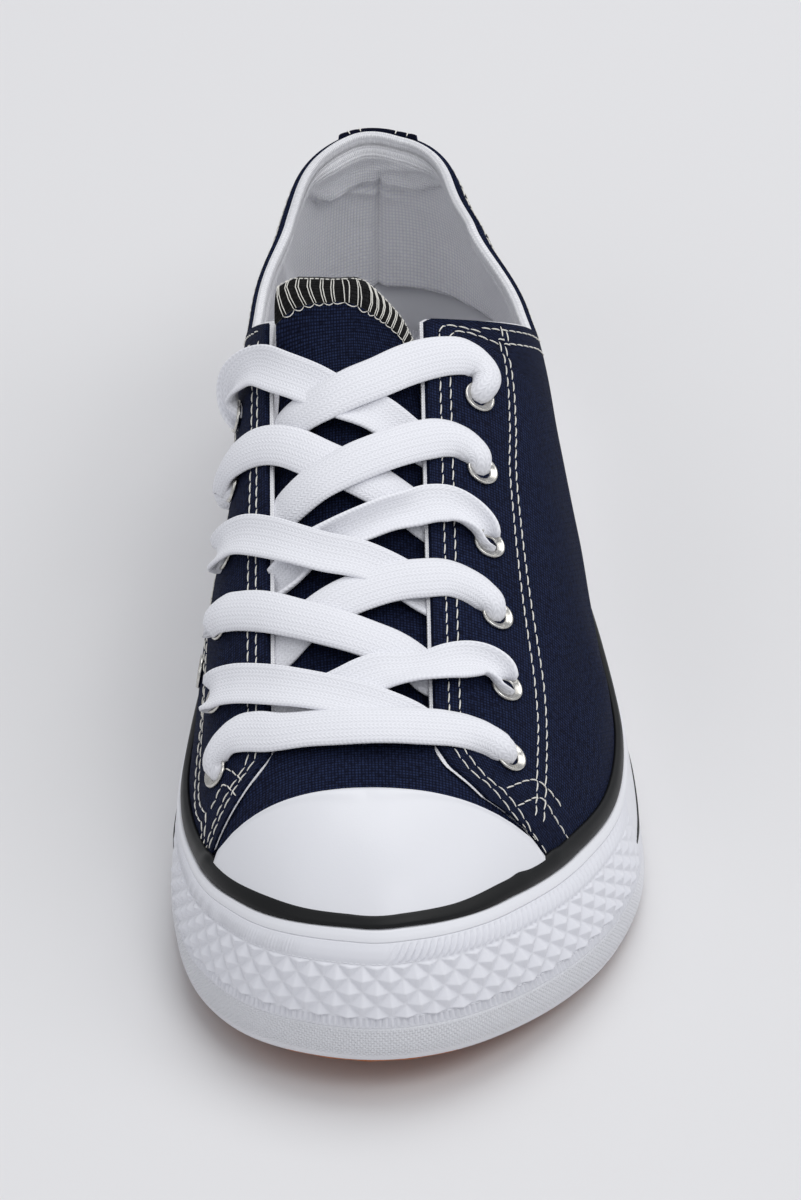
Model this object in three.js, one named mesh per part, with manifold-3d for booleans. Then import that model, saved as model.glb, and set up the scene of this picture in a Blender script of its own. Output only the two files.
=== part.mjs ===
// A low canvas sneaker, the left one of a pair, as the pieces that a maker puts together: gum outsole,
// filler midsole, foxing with its toe bumper and tape, hollow canvas upper, rubber toe cap, tongue,
// insole, heel stay, eyelets and laces.
// Millimetres, +Z up. The toe points along -Y, the outer (lateral) side is +X, the sole rests on Z = 0.
//
// Every piece is worked out on the same ribs. A rib is a vertical half plane that starts at a point of
// the last's ridge and runs out through the sole's edge. Along the foot the ribs stand square to it, and
// round the heel and the toe they fan out from one centre. "along" is the distance from the back of the
// heel, "across" the distance from the long axis, positive on the outer side, "height" is over the floor.
import * as THREE from "three";
import Module from "manifold-3d";

const wasm = await Module();
wasm.setup();

// ---- Driving sizes ----
const LENGTH = 276; // the sole, heel to toe
const CENTRE_ACROSS = -0.32; // middle of the sole's width, which goes on X = 0
const HEEL_CENTRE = 36; // where the heel's ribs fan out from
const TOE_CENTRE = 228; // where the toe's ribs fan out from
const HEEL_RIBS = 6; // ribs in a quarter fan
const TOE_RIBS = 8;
const SIDE_RIBS = 14; // steps between the two fans
const BALL = 195; // where the toe spring starts
const TOE_SPRING = 9;
const ARCH = { from: 84, to: 160, rise: 1.2 }; // the waist stands clear of the floor
const OUTSOLE_THICK = 4.4;
const FEATHER = 9; // height of the canvas's lower edge over the sole's underside
const CLEAR = 0.35; // between pieces that touch
const CANVAS = 2.0; // quarters: canvas, backing and lining together
const VAMP_SINK = 0.9; // the vamp lies this much under the quarters
const VAMP_THICK = 1.6;
const CAP_THICK = 1.4;
const STAY = { halfWidth: 9.5, thick: 1.1 };
const FOXING = { foot: 1.4, topThick: 2.2, edge: 1.1, wrap: 3.2, ledge: 1.5, room: 0.5 };
const TAPE = { height: 3.4, thick: 1.7 };
const BUMPER = { low: 0.3, high: 0.88, thick: 2.4, from: 188, full: 232 };
const INSOLE_THICK = 3;
const EYELET = { hole: 2.3, barrel: 2.7, flange: 3.9, rise: 0.9, depth: 2.6, segments: 12 };
const LACE = {
  width: 9,
  apart: 3.4, // from where a crossing run starts to the facing's edge beside it
  thick: 1.3,
  bar: [1.3, 2.5, 2.9, 2.4, 1.3], // heights over the facings, evenly along each run
  over: [-0.8, 0.3, 2.4, 2.4, 1.7, 1.3],
  under: [-0.8, 0.2, 1.5, 1.6, 1.5, 1.3],
};

// Cross grooves that part the tread into its main bars.
const GROOVE = { wide: 2.6, deep: 1.3 };
const TREAD = [
  { along: 16, inner: -18, outer: 18 },
  { along: 23, inner: -22, outer: 22 },
  { along: 58, inner: -27, outer: 27 },
  { along: 66, inner: -27, outer: 27 },
  { along: 164, inner: -36, outer: 37 },
  { along: 192, inner: -41, outer: 41 },
  { along: 204, inner: -41, outer: 40 },
  { along: 216, inner: -40, outer: 37 },
  { along: 228, inner: -38, outer: 32 },
  { along: 240, inner: -35, outer: 26 },
];

// The sole's edge, once round, with how far in the canvas's lower edge lies.
const OUTLINE = [
  { along: 0, across: 0, inset: 3.5 },
  { along: 4, across: 15, inset: 3.5 },
  { along: 14, across: 27, inset: 3.5 },
  { along: 34, across: 34.8, inset: 3.2 },
  { along: 70, across: 36.5, inset: 3 },
  { along: 110, across: 39.5, inset: 3 },
  { along: 145, across: 45, inset: 3.2 },
  { along: 180, across: 50, inset: 4.2 },
  { along: 208, across: 50.4, inset: 6.8 },
  { along: 230, across: 44, inset: 8.6 },
  { along: 248, across: 34, inset: 8.6 },
  { along: 262, across: 21.7, inset: 7.8 },
  { along: 272, across: 8, inset: 7.2 },
  { along: 276, across: -7, inset: 7 },
  { along: 273, across: -22, inset: 7 },
  { along: 264, across: -36, inset: 6.5 },
  { along: 246, across: -46.5, inset: 5.2 },
  { along: 224, across: -50.6, inset: 4 },
  { along: 200, across: -51.2, inset: 3.2 },
  { along: 170, across: -47.8, inset: 3 },
  { along: 140, across: -43, inset: 3 },
  { along: 110, across: -40, inset: 3 },
  { along: 70, across: -37, inset: 3 },
  { along: 34, across: -34.6, inset: 3.2 },
  { along: 14, across: -27, inset: 3.5 },
  { along: 4, across: -15, inset: 3.5 },
];

// The last: where its ridge runs, how high it is, and how full each side's section is. A section is
// (reach / r)^round + (rise / h)^full = 1, so a large "full" gives an upright wall.
const LAST = [
  { along: 0, ridge: -1.5, top: 86, outerRound: 3.0, outerFull: 3.4, innerRound: 4.2, innerFull: 3.7 },
  { along: 12, ridge: -1.5, top: 86, outerRound: 2.0, outerFull: 2.2, innerRound: 3.4, innerFull: 2.8 },
  { along: 36, ridge: -3, top: 86, outerRound: 1.4, outerFull: 2.0, innerRound: 2.0, innerFull: 2.6 },
  { along: 65, ridge: -5, top: 94, outerRound: 1.5, outerFull: 3.4, innerRound: 2.6, innerFull: 4.2 },
  { along: 90, ridge: -8, top: 96, outerRound: 1.5, outerFull: 4.6, innerRound: 2.0, innerFull: 5.5 },
  { along: 110, ridge: -10, top: 92, outerRound: 1.4, outerFull: 4.6, innerRound: 2.0, innerFull: 6.0 },
  { along: 130, ridge: -10.5, top: 83.5, outerRound: 1.5, outerFull: 4.0, innerRound: 2.0, innerFull: 5.5 },
  { along: 160, ridge: -11, top: 72, outerRound: 1.7, outerFull: 3.0, innerRound: 2.0, innerFull: 4.5 },
  { along: 190, ridge: -11, top: 61.5, outerRound: 2.0, outerFull: 2.3, innerRound: 2.2, innerFull: 3.2 },
  { along: 215, ridge: -10.5, top: 54.5, outerRound: 2.2, outerFull: 2.1, innerRound: 2.3, innerFull: 2.6 },
  { along: 228, ridge: -10, top: 51.8, outerRound: 2.3, outerFull: 2.1, innerRound: 2.4, innerFull: 2.4 },
  { along: 250, ridge: -9, top: 48.3, outerRound: 2.4, outerFull: 2.3, innerRound: 2.4, innerFull: 2.3 },
  { along: 276, ridge: -8, top: 45, outerRound: 2.4, outerFull: 2.4, innerRound: 2.4, innerFull: 2.4 },
];

// The collar's edge seen from the side. It runs on past the top of the facings.
const COLLAR = [
  { along: 0, height: 70 },
  { along: 8, height: 70 },
  { along: 20, height: 67 },
  { along: 42, height: 60.5 },
  { along: 64, height: 58 },
  { along: 79, height: 61.5 },
  { along: 95, height: 74 },
  { along: 109, height: 85.5 },
  { along: 122, height: 96 },
];

// The black tape's upper edge, which is where the canvas comes out of the rubber.
const TAPE_TOP = [
  { along: 0, height: 28 },
  { along: 60, height: 26 },
  { along: 130, height: 25 },
  { along: 190, height: 25 },
  { along: 215, height: 28 },
  { along: 235, height: 32 },
  { along: 250, height: 35.5 },
  { along: 268, height: 38 },
];

// The facings' straight edges on plan, then the slanting front edges of the quarters.
const FACING = [
  { along: 110, outer: 5.4, inner: -29.6 },
  { along: 219, outer: 5.2, inner: -30.4 },
  { along: 225, outer: 8.4, inner: -37 },
  { along: 230.5, outer: 16, inner: -44 },
  { along: 232.8, outer: 30, inner: -56 },
  { along: 240, outer: 70, inner: -80 },
];
const FACING_START = 90; // the throat's cutter begins above the collar

// The eyelets from the toe end up, on plan. The inner ones stand a little further back.
const EYELETS = [
  { outerAlong: 217, outer: 20.8, innerAlong: 213, inner: -41.3 },
  { outerAlong: 199, outer: 20.5, innerAlong: 194, inner: -40.9 },
  { outerAlong: 181, outer: 19, innerAlong: 175, inner: -39.8 },
  { outerAlong: 163, outer: 17.7, innerAlong: 156, inner: -38.4 },
  { outerAlong: 144.5, outer: 16.7, innerAlong: 137, inner: -36.8 },
  { outerAlong: 126, outer: 16.5, innerAlong: 118.5, inner: -35.6 },
];

// Two small breathing eyelets, on the inner side only.
const VENTS = [
  { along: 152, height: 37 },
  { along: 172, height: 37 },
];

const CAP_REAR = 233.6;
const VAMP_REAR = 219.5;

// The tongue from under the vamp to its rounded top. It lies "sink" under the last's skin, raised by
// "rise", and reaches from the ridge to each side. Past "seat" it no longer follows the last.
const TONGUE = { sink: 3.1, thick: 1.7, seat: 124 };
const TONGUE_ROWS = [
  { along: 229, rise: -0.5, outer: 20, inner: 21 },
  { along: 222, rise: 0, outer: 20.5, inner: 21.5 },
  { along: 208, rise: 0, outer: 21, inner: 22 },
  { along: 194, rise: 0, outer: 21, inner: 22 },
  { along: 180, rise: 0, outer: 21, inner: 22 },
  { along: 166, rise: 0, outer: 21, inner: 22 },
  { along: 152, rise: 0, outer: 21, inner: 22 },
  { along: 138, rise: 0, outer: 20, inner: 21.5 },
  { along: 127, rise: 0, outer: 18, inner: 19.5 },
  { along: 121, rise: 0.7, outer: 16.8, inner: 18.2 },
  { along: 117, rise: 3, outer: 16.2, inner: 17.9 },
  { along: 112.5, rise: 6.5, outer: 15.4, inner: 17.3 },
  { along: 109, rise: 9.6, outer: 13, inner: 14.8 },
  { along: 107, rise: 11.4, outer: 8, inner: 9.6 },
];

// ---- Tables and curves ----
// A smooth curve through a table's rows, read at one distance along.
function column(table, name, along) {
  const last = table.length - 1;
  const at = Math.min(Math.max(along, table[0].along), table[last].along);
  let i = 0;
  while (i < last - 1 && at > table[i + 1].along) i += 1;
  const step = (k) => (table[k + 1][name] - table[k][name]) / (table[k + 1].along - table[k].along);
  const slope = (k) => {
    if (k === 0) return step(0);
    if (k === last) return step(last - 1);
    const before = table[k].along - table[k - 1].along;
    const after = table[k + 1].along - table[k].along;
    return (step(k - 1) * after + step(k) * before) / (before + after);
  };
  const span = table[i + 1].along - table[i].along;
  const t = (at - table[i].along) / span;
  const ease = t * t * (3 - 2 * t);
  const out = t * (1 - t) * (1 - t) * span * slope(i);
  const into = t * t * (t - 1) * span * slope(i + 1);
  return table[i][name] * (1 - ease) + table[i + 1][name] * ease + out + into;
}

const smooth = (x, from, to) => THREE.MathUtils.smoothstep(x, from, to);
const spring = (along) => TOE_SPRING * Math.max(0, (along - BALL) / (LENGTH - BALL)) ** 1.8;
const arch = (along) => {
  const t = THREE.MathUtils.clamp((along - ARCH.from) / (ARCH.to - ARCH.from), 0, 1);
  return ARCH.rise * Math.sin(Math.PI * t) ** 2;
};

// The sole's edge and the canvas's lower edge as fine closed lines.
function edgeLines() {
  const curve = new THREE.CatmullRomCurve3(
    OUTLINE.map((p) => new THREE.Vector3(p.along, p.across, p.inset)),
    true,
    "centripetal",
  );
  const sole = curve.getPoints(420).slice(0, -1);
  const feather = sole.map((p, i) => {
    const next = sole[(i + 1) % sole.length];
    const back = sole[(i + sole.length - 1) % sole.length];
    const outward = new THREE.Vector2(back.y - next.y, next.x - back.x).normalize();
    return new THREE.Vector3(p.x - outward.x * p.z, p.y - outward.y * p.z, 0);
  });
  return { sole, feather };
}
const EDGE = edgeLines();

// How far a line of points lies from a centre in one direction.
function reach(line, centre, way) {
  let best = 0;
  line.forEach((p, i) => {
    const q = line[(i + 1) % line.length];
    const turn = way.x * (q.y - p.y) - way.y * (q.x - p.x);
    if (Math.abs(turn) < 1e-9) return;
    const far = ((p.x - centre.x) * (q.y - p.y) - (p.y - centre.y) * (q.x - p.x)) / turn;
    const share = ((p.x - centre.x) * way.y - (p.y - centre.y) * way.x) / turn;
    if (far > best && share >= 0 && share <= 1) best = far;
  });
  return best;
}

// ---- Ribs ----
function makeRib(alongCentre, way) {
  const centre = new THREE.Vector2(alongCentre, column(LAST, "ridge", alongCentre));
  const feather = reach(EDGE.feather, centre, way);
  const at = centre.x + way.x * feather;
  const side = way.y >= 0 ? "outer" : "inner";
  return {
    centre,
    way,
    feather,
    sole: reach(EDGE.sole, centre, way),
    round: column(LAST, side + "Round", at),
    full: column(LAST, side + "Full", at),
  };
}

// The ribs of one side, from the back of the heel to the tip of the toe.
function sideRibs(side) {
  const list = [];
  for (let k = 0; k < HEEL_RIBS; k += 1) {
    const turn = (Math.PI / 2) * (k / HEEL_RIBS);
    list.push(makeRib(HEEL_CENTRE, new THREE.Vector2(-Math.cos(turn), side * Math.sin(turn))));
  }
  for (let k = 0; k <= SIDE_RIBS; k += 1) {
    const along = HEEL_CENTRE + ((TOE_CENTRE - HEEL_CENTRE) * k) / SIDE_RIBS;
    list.push(makeRib(along, new THREE.Vector2(0, side)));
  }
  for (let k = 1; k <= TOE_RIBS; k += 1) {
    const turn = (Math.PI / 2) * (1 - k / TOE_RIBS);
    list.push(makeRib(TOE_CENTRE, new THREE.Vector2(Math.cos(turn), side * Math.sin(turn))));
  }
  return list;
}
const OUTER = sideRibs(1);
const INNER = sideRibs(-1);
const HALF = OUTER.length;
const RIBS = [...OUTER, ...INNER.slice(1, -1).reverse()]; // once round, from the back of the heel

const place = (along, across, height) =>
  new THREE.Vector3(across - CENTRE_ACROSS, LENGTH / 2 - along, height);
const onRib = (rib, radius, height) =>
  place(rib.centre.x + rib.way.x * radius, rib.centre.y + rib.way.y * radius, height);
const alongOf = (rib, radius) => rib.centre.x + rib.way.x * radius;

// A point of the last's skin, grown by so much all over. angle runs from 0 at the feather edge to a
// right angle at the ridge.
function skin(rib, grow, angle) {
  const radius = (rib.feather + grow) * Math.cos(angle) ** (2 / rib.round);
  const along = alongOf(rib, radius);
  const base = FEATHER + spring(along);
  const top = column(LAST, "top", Math.max(along, HEEL_CENTRE)) + grow;
  return { radius, height: base + (top - base) * Math.sin(angle) ** (2 / rib.full) };
}

// How far out the skin lies at one height.
function skinRadius(rib, grow, height) {
  let low = 0;
  let high = Math.PI / 2;
  for (let k = 0; k < 24; k += 1) {
    const middle = (low + high) / 2;
    if (skin(rib, grow, middle).height < height) low = middle;
    else high = middle;
  }
  return skin(rib, grow, low).radius;
}

// A point of the skin between the two fans, by its place on plan.
function skinAt(along, across, grow) {
  const side = across >= column(LAST, "ridge", along) ? 1 : -1;
  const rib = makeRib(along, new THREE.Vector2(0, side));
  const share = Math.min(Math.abs(across - rib.centre.y) / (rib.feather + grow), 1);
  const rise = (1 - share ** rib.round) ** (1 / rib.full);
  const base = FEATHER + spring(along);
  return place(along, across, base + (column(LAST, "top", along) + grow - base) * rise);
}

function skinNormal(along, across) {
  const d = 1.5;
  const forward = skinAt(along - d, across, 0).sub(skinAt(along + d, across, 0));
  const sideways = skinAt(along, across + d, 0).sub(skinAt(along, across - d, 0));
  return sideways.cross(forward).normalize();
}

// ---- Solids ----
// Collects triangles, joins equal corners and hands the closed solid over.
class Body {
  constructor() {
    this.points = [];
    this.keys = new Map();
    this.triangles = [];
  }

  corner(p) {
    const key = [p.x, p.y, p.z].map((v) => Math.round(v * 1000)).join();
    if (!this.keys.has(key)) {
      this.keys.set(key, this.points.length / 3);
      this.points.push(p.x, p.y, p.z);
    }
    return this.keys.get(key);
  }

  triangle(a, b, c) {
    const corners = [a, b, c].map((p) => this.corner(p));
    if (new Set(corners).size === 3) this.triangles.push(...corners);
  }

  quad(a, b, c, d) {
    this.triangle(a, b, c);
    this.triangle(a, c, d);
  }

  // Rows of points, each joined to the next.
  sheet(rows, closed = false) {
    const count = closed ? rows.length : rows.length - 1;
    for (let i = 0; i < count; i += 1) {
      const row = rows[i];
      const next = rows[(i + 1) % rows.length];
      for (let j = 0; j < row.length - 1; j += 1) this.quad(row[j], next[j], next[j + 1], row[j + 1]);
    }
  }

  // Closes a loop with an even number of points, in steps across its thin way.
  end(loop) {
    const last = loop.length - 1;
    for (let i = 0; i < last - i - 1; i += 1) {
      this.quad(loop[i], loop[i + 1], loop[last - i - 1], loop[last - i]);
    }
  }

  // Rows that are each a loop, closed at the first and the last row.
  tube(loops) {
    this.sheet(loops.map((loop) => [...loop, loop[0]]));
    this.end(loops[0]);
    this.end([...loops[loops.length - 1]].reverse());
  }

  solid() {
    const make = (triangles) =>
      new wasm.Manifold(
        new wasm.Mesh({
          numProp: 3,
          vertProperties: new Float32Array(this.points),
          triVerts: new Uint32Array(triangles),
        }),
      );
    const made = make(this.triangles);
    if (made.volume() > 0) return made;
    const turned = [];
    for (let i = 0; i < this.triangles.length; i += 3) {
      turned.push(this.triangles[i], this.triangles[i + 2], this.triangles[i + 1]);
    }
    return make(turned);
  }
}

// Closes the two rings of a form, one point on each rib, with strips from side to side.
function closeAcross(body, low, high) {
  const inner = (ring, k) => (k === 0 || k === HALF - 1 ? ring[k] : ring[ring.length - k]);
  for (let k = 0; k < HALF - 1; k += 1) {
    body.quad(inner(low, k), inner(low, k + 1), low[k + 1], low[k]);
    body.quad(high[k], high[k + 1], inner(high, k + 1), inner(high, k));
  }
}

// The whole last as a closed form, grown by so much, its foot moved down by drop.
function form(grow, drop = 0, levels = 11) {
  const body = new Body();
  const rows = RIBS.map((rib) => {
    const row = [];
    for (let k = 0; k <= levels; k += 1) {
      const p = skin(rib, grow, (Math.PI / 2) * (k / levels));
      if (k === 0) row.push(onRib(rib, p.radius, p.height - drop));
      row.push(onRib(rib, p.radius, p.height));
    }
    return row;
  });
  body.sheet(rows, true);
  closeAcross(
    body,
    rows.map((row) => row[0]),
    rows.map((row) => row[row.length - 1]),
  );
  return body.solid();
}

// A slab that fills the sole's outline, less an inset, between two heights that depend on along.
function slab(radiusOf, under, over) {
  const body = new Body();
  const ring = (heightOf) =>
    RIBS.map((rib) => {
      const radius = radiusOf(rib);
      return onRib(rib, radius, heightOf(alongOf(rib, radius)));
    });
  const low = ring(under);
  const high = ring(over);
  body.sheet(
    low.map((p, i) => [p, high[i]]),
    true,
  );
  closeAcross(body, low, high);
  return body.solid();
}

// A band round the shoe: sectionOf gives a closed loop of [radius, height] on each rib. A band that
// doesn't go all the way round is closed at its two ends.
function band(ribs, sectionOf, round) {
  const body = new Body();
  const loops = ribs.map((rib) => sectionOf(rib).map(([radius, height]) => onRib(rib, radius, height)));
  if (round) {
    body.sheet(
      loops.map((loop) => [...loop, loop[0]]),
      true,
    );
  } else {
    body.tube(loops);
  }
  return body.solid();
}

// A prism from a flat outline given as [along, across or height] pairs.
function prism(pairs, upright, from, to) {
  const outline = pairs.map(([along, other]) => new THREE.Vector2(along, other));
  if (THREE.ShapeUtils.isClockWise(outline)) outline.reverse();
  const body = new Body();
  const point = (p, depth) => (upright ? place(p.x, p.y, depth) : place(p.x, depth, p.y));
  THREE.ShapeUtils.triangulateShape(outline, []).forEach((face) => {
    const [a, b, c] = face.map((k) => outline[k]);
    body.triangle(point(a, from), point(b, from), point(c, from));
    body.triangle(point(a, to), point(c, to), point(b, to));
  });
  outline.forEach((p, i) => {
    const q = outline[(i + 1) % outline.length];
    body.quad(point(p, from), point(p, to), point(q, to), point(q, from));
  });
  return body.solid();
}

// A strip of rectangular section through frames of { middle, width, normal }.
function strip(frames, wide, thick) {
  const body = new Body();
  body.tube(
    frames.map(({ middle, width, normal }) => {
      const corner = (w, n) =>
        middle
          .clone()
          .addScaledVector(width, (w * wide) / 2)
          .addScaledVector(normal, (n * thick) / 2);
      return [corner(-1, -1), corner(1, -1), corner(1, 1), corner(-1, 1)];
    }),
  );
  return body.solid();
}

const FAR = 400; // larger than the shoe, for the cutters

// Everything over the collar's edge.
function collarCutter() {
  const points = [[-20, COLLAR[0].height]];
  const end = COLLAR[COLLAR.length - 1].along;
  for (let along = 0; along <= end; along += end / 24) points.push([along, column(COLLAR, "height", along)]);
  points.push([end, FAR / 2], [-20, FAR / 2]);
  return prism(points, false, -FAR / 4, FAR / 4);
}

// The place across of a facing's edge, on its straight part.
function facingEdge(along, side) {
  const [top, foot] = FACING;
  const name = side > 0 ? "outer" : "inner";
  return THREE.MathUtils.mapLinear(along, top.along, foot.along, top[name], foot[name]);
}

// The gap between the facings, and all that lies ahead of the quarters' slanting front edges.
function throatCutter() {
  const edge = (side, name) => [
    [FACING_START, facingEdge(FACING_START, side)],
    ...FACING.slice(1).map((row) => [row.along, row[name]]),
    [FAR, FACING[FACING.length - 1][name]],
  ];
  return prism([...edge(1, "outer"), ...edge(-1, "inner").reverse()], true, 0, FAR / 2);
}

// A box by its limits along, across and in height.
function block(along, across, height) {
  const pairs = [
    [along[0], across[0]],
    [along[1], across[0]],
    [along[1], across[1]],
    [along[0], across[1]],
  ];
  return prism(pairs, true, height[0], height[1]);
}

// A round solid on a seat of the skin, from a profile of [radius, height over the skin].
function turnedOn({ middle, normal }, profile) {
  const segments = EYELET.segments;
  const turn = new THREE.Quaternion().setFromUnitVectors(new THREE.Vector3(0, 0, 1), normal);
  const body = new Body();
  const rows = [];
  for (let k = 0; k < segments; k += 1) {
    const angle = (2 * Math.PI * k) / segments;
    const loop = profile.map(([radius, rise]) =>
      new THREE.Vector3(radius * Math.cos(angle), radius * Math.sin(angle), rise)
        .applyQuaternion(turn)
        .add(middle),
    );
    rows.push([...loop, loop[0]]);
  }
  body.sheet(rows, true);
  return body.solid();
}

// ---- Sole ----
function outsole() {
  const sheet = slab(
    (rib) => rib.sole - FOXING.wrap,
    (along) => spring(along) + arch(along),
    (along) => spring(along) + OUTSOLE_THICK,
  );
  return TREAD.reduce((solid, { along, inner, outer }) => {
    const reachAlong = [along - GROOVE.wide / 2, along + GROOVE.wide / 2];
    const height = [-1, spring(along) + GROOVE.deep];
    return solid.subtract(block(reachAlong, [inner, outer], height));
  }, sheet);
}

function midsole() {
  return slab(
    (rib) => rib.feather - FOXING.ledge,
    (along) => spring(along) + OUTSOLE_THICK + CLEAR,
    (along) => spring(along) + FEATHER - CLEAR,
  );
}

function insole() {
  const sunk = VAMP_SINK + VAMP_THICK + CLEAR;
  return slab(
    (rib) => rib.feather - sunk - 0.4,
    (along) => spring(along) + FEATHER,
    (along) => spring(along) + FEATHER + INSOLE_THICK,
  );
}

// How much of the toe bumper's thickness a rib carries.
function bumperShare(rib) {
  return smooth(alongOf(rib, rib.sole), BUMPER.from, BUMPER.full);
}

// The rubber's outer face on a rib, at a share of the way from its foot to the tape.
function sidewall(rib, share) {
  const foot = FOXING.foot + spring(alongOf(rib, rib.sole));
  const top = column(TAPE_TOP, "height", alongOf(rib, rib.feather)) - TAPE.height;
  const height = foot + (top - foot) * share;
  const inner = skinRadius(rib, 0, top) + FOXING.topThick;
  const lean = THREE.MathUtils.lerp(1.5, 2.1, bumperShare(rib));
  const heel = FOXING.edge * Math.max(0, 1 - share / 0.18) ** 2;
  return { radius: rib.sole - heel + (inner - rib.sole) * share ** lean, height };
}

function foxingSection(rib) {
  const sink = (BUMPER.thick + CLEAR) * bumperShare(rib);
  const step = 0.02;
  const at = (share, depth = 0) => {
    const p = sidewall(rib, share);
    return [p.radius - depth, p.height];
  };
  const top = at(1);
  const level = (radius, height) => [radius, height + spring(alongOf(rib, radius))];
  const ledge = rib.feather - FOXING.ledge + CLEAR;
  const wrap = rib.sole - FOXING.wrap + CLEAR;
  const foot = FEATHER + spring(alongOf(rib, rib.feather));
  return [
    at(0),
    at(0.18),
    at(BUMPER.low - step),
    at(BUMPER.low, sink),
    at(0.55, sink),
    at(BUMPER.high, sink),
    at(BUMPER.high + step),
    top,
    [skinRadius(rib, FOXING.room, top[1]), top[1]],
    [skinRadius(rib, FOXING.room, foot + 5), foot + 5],
    level(rib.feather + FOXING.room, FEATHER - CLEAR),
    level(ledge, FEATHER - CLEAR),
    level(ledge, OUTSOLE_THICK + CLEAR),
    level(wrap, OUTSOLE_THICK + CLEAR),
    [wrap, at(0)[1]],
  ];
}

function foxing() {
  return band(RIBS, foxingSection, true);
}

function toeBumper() {
  const ribs = RIBS.filter((rib) => bumperShare(rib) > 0.1);
  return band(
    ribs,
    (rib) => {
      const thick = BUMPER.thick * bumperShare(rib);
      const inner = (share) => [sidewall(rib, share).radius - thick, sidewall(rib, share).height];
      const outer = (share) => [sidewall(rib, share).radius, sidewall(rib, share).height];
      const low = BUMPER.low + 0.02;
      const high = BUMPER.high - 0.02;
      const shares = [low, 0.42, 0.55, 0.68, high];
      return [...shares.map(outer), ...shares.map(inner).reverse()];
    },
    false,
  );
}

function tape() {
  return band(
    RIBS,
    (rib) => {
      const top = column(TAPE_TOP, "height", alongOf(rib, rib.feather));
      const low = top - TAPE.height + CLEAR;
      const inner = (height) => skinRadius(rib, CLEAR, height);
      return [
        [inner(low) + TAPE.thick, low],
        [inner(top) + TAPE.thick, top - 0.5],
        [inner(top) + TAPE.thick - 0.6, top],
        [inner(top), top],
        [inner(low), low],
      ];
    },
    true,
  );
}

// ---- Upper ----
function eyeletSeats() {
  const seat = (name, along, across) => ({
    name,
    middle: skinAt(along, across, 0),
    normal: skinNormal(along, across),
  });
  return EYELETS.flatMap(({ outerAlong, outer, innerAlong, inner }, i) => [
    seat(`eyelet_outer_${i + 1}`, outerAlong, outer),
    seat(`eyelet_inner_${i + 1}`, innerAlong, inner),
  ]);
}

// The vents sit on the steep inner wall, where a height says more than a place on plan.
function ventSeats() {
  const wall = (along, height) => {
    const rib = makeRib(along, new THREE.Vector2(0, -1));
    return onRib(rib, skinRadius(rib, 0, height), height);
  };
  return VENTS.map(({ along, height }, i) => {
    const forward = wall(along + 2, height).sub(wall(along - 2, height));
    const upward = wall(along, height + 2).sub(wall(along, height - 2));
    return {
      name: `vent_${i + 1}`,
      middle: wall(along, height),
      normal: forward.cross(upward).normalize(),
    };
  });
}
const SEATS = [...eyeletSeats(), ...ventSeats()];

function upper(collar) {
  const quarters = form(0)
    .subtract(form(-CANVAS, 4))
    .subtract(throatCutter());
  const vamp = form(-VAMP_SINK)
    .subtract(form(-VAMP_SINK - VAMP_THICK, 4))
    .intersect(block([VAMP_REAR, FAR], [-90, 90], [0, FAR]));
  const radius = EYELET.barrel + CLEAR;
  const drill = [
    [0, -6],
    [radius, -6],
    [radius, 4],
    [0, 4],
  ];
  const whole = quarters.add(vamp).subtract(collar);
  return SEATS.reduce((solid, seat) => solid.subtract(turnedOn(seat, drill)), whole);
}

// The room that the rubber and its tape take up round the shoe.
function rubberRoom() {
  return band(
    RIBS,
    (rib) => {
      const near = rib.feather * 0.5;
      const far = rib.sole + 10;
      const top = column(TAPE_TOP, "height", alongOf(rib, rib.feather)) + FOXING.room;
      return [
        [near, 0],
        [far, 0],
        [far, top],
        [near, top],
      ];
    },
    true,
  );
}

// The cap lies on the vamp and stops at the tape.
function toeCap() {
  return form(-VAMP_SINK + CLEAR + CAP_THICK)
    .subtract(form(-VAMP_SINK + CLEAR, 4))
    .intersect(block([CAP_REAR, FAR], [-90, 90], [0, FAR]))
    .subtract(rubberRoom());
}

// A canvas strip up the back of the heel.
function heelStay(collar) {
  const top = TAPE_TOP[0].height + CLEAR;
  return form(CLEAR + STAY.thick)
    .subtract(form(CLEAR, 4))
    .intersect(block([-20, HEEL_CENTRE - 10], [-STAY.halfWidth, STAY.halfWidth], [top, FAR]))
    .subtract(collar);
}

function tongue() {
  const shares = [-1, -0.8, -0.55, -0.28, 0, 0.28, 0.55, 0.8, 1];
  const line = ({ along, rise, outer, inner }, grow) =>
    shares.map((share) => {
      const seat = Math.max(along, TONGUE.seat);
      const across = column(LAST, "ridge", seat) + share * (share > 0 ? outer : inner);
      const p = skinAt(seat, across, grow);
      return new THREE.Vector3(p.x, LENGTH / 2 - along, p.z + rise);
    });
  const body = new Body();
  body.tube(
    TONGUE_ROWS.map((row) => {
      const over = line(row, -TONGUE.sink);
      const under = line(row, -TONGUE.sink - TONGUE.thick);
      return [...over, ...under.reverse()];
    }),
  );
  return body.solid();
}

// ---- Eyelets and laces ----
function eyelet(seat) {
  const { hole, barrel, flange, rise, depth } = EYELET;
  const profile = [
    [hole, -depth],
    [barrel, -depth],
    [barrel, CLEAR],
    [flange, CLEAR],
    [flange - 0.3, rise],
    [hole, rise],
  ];
  return turnedOn(seat, profile);
}

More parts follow.
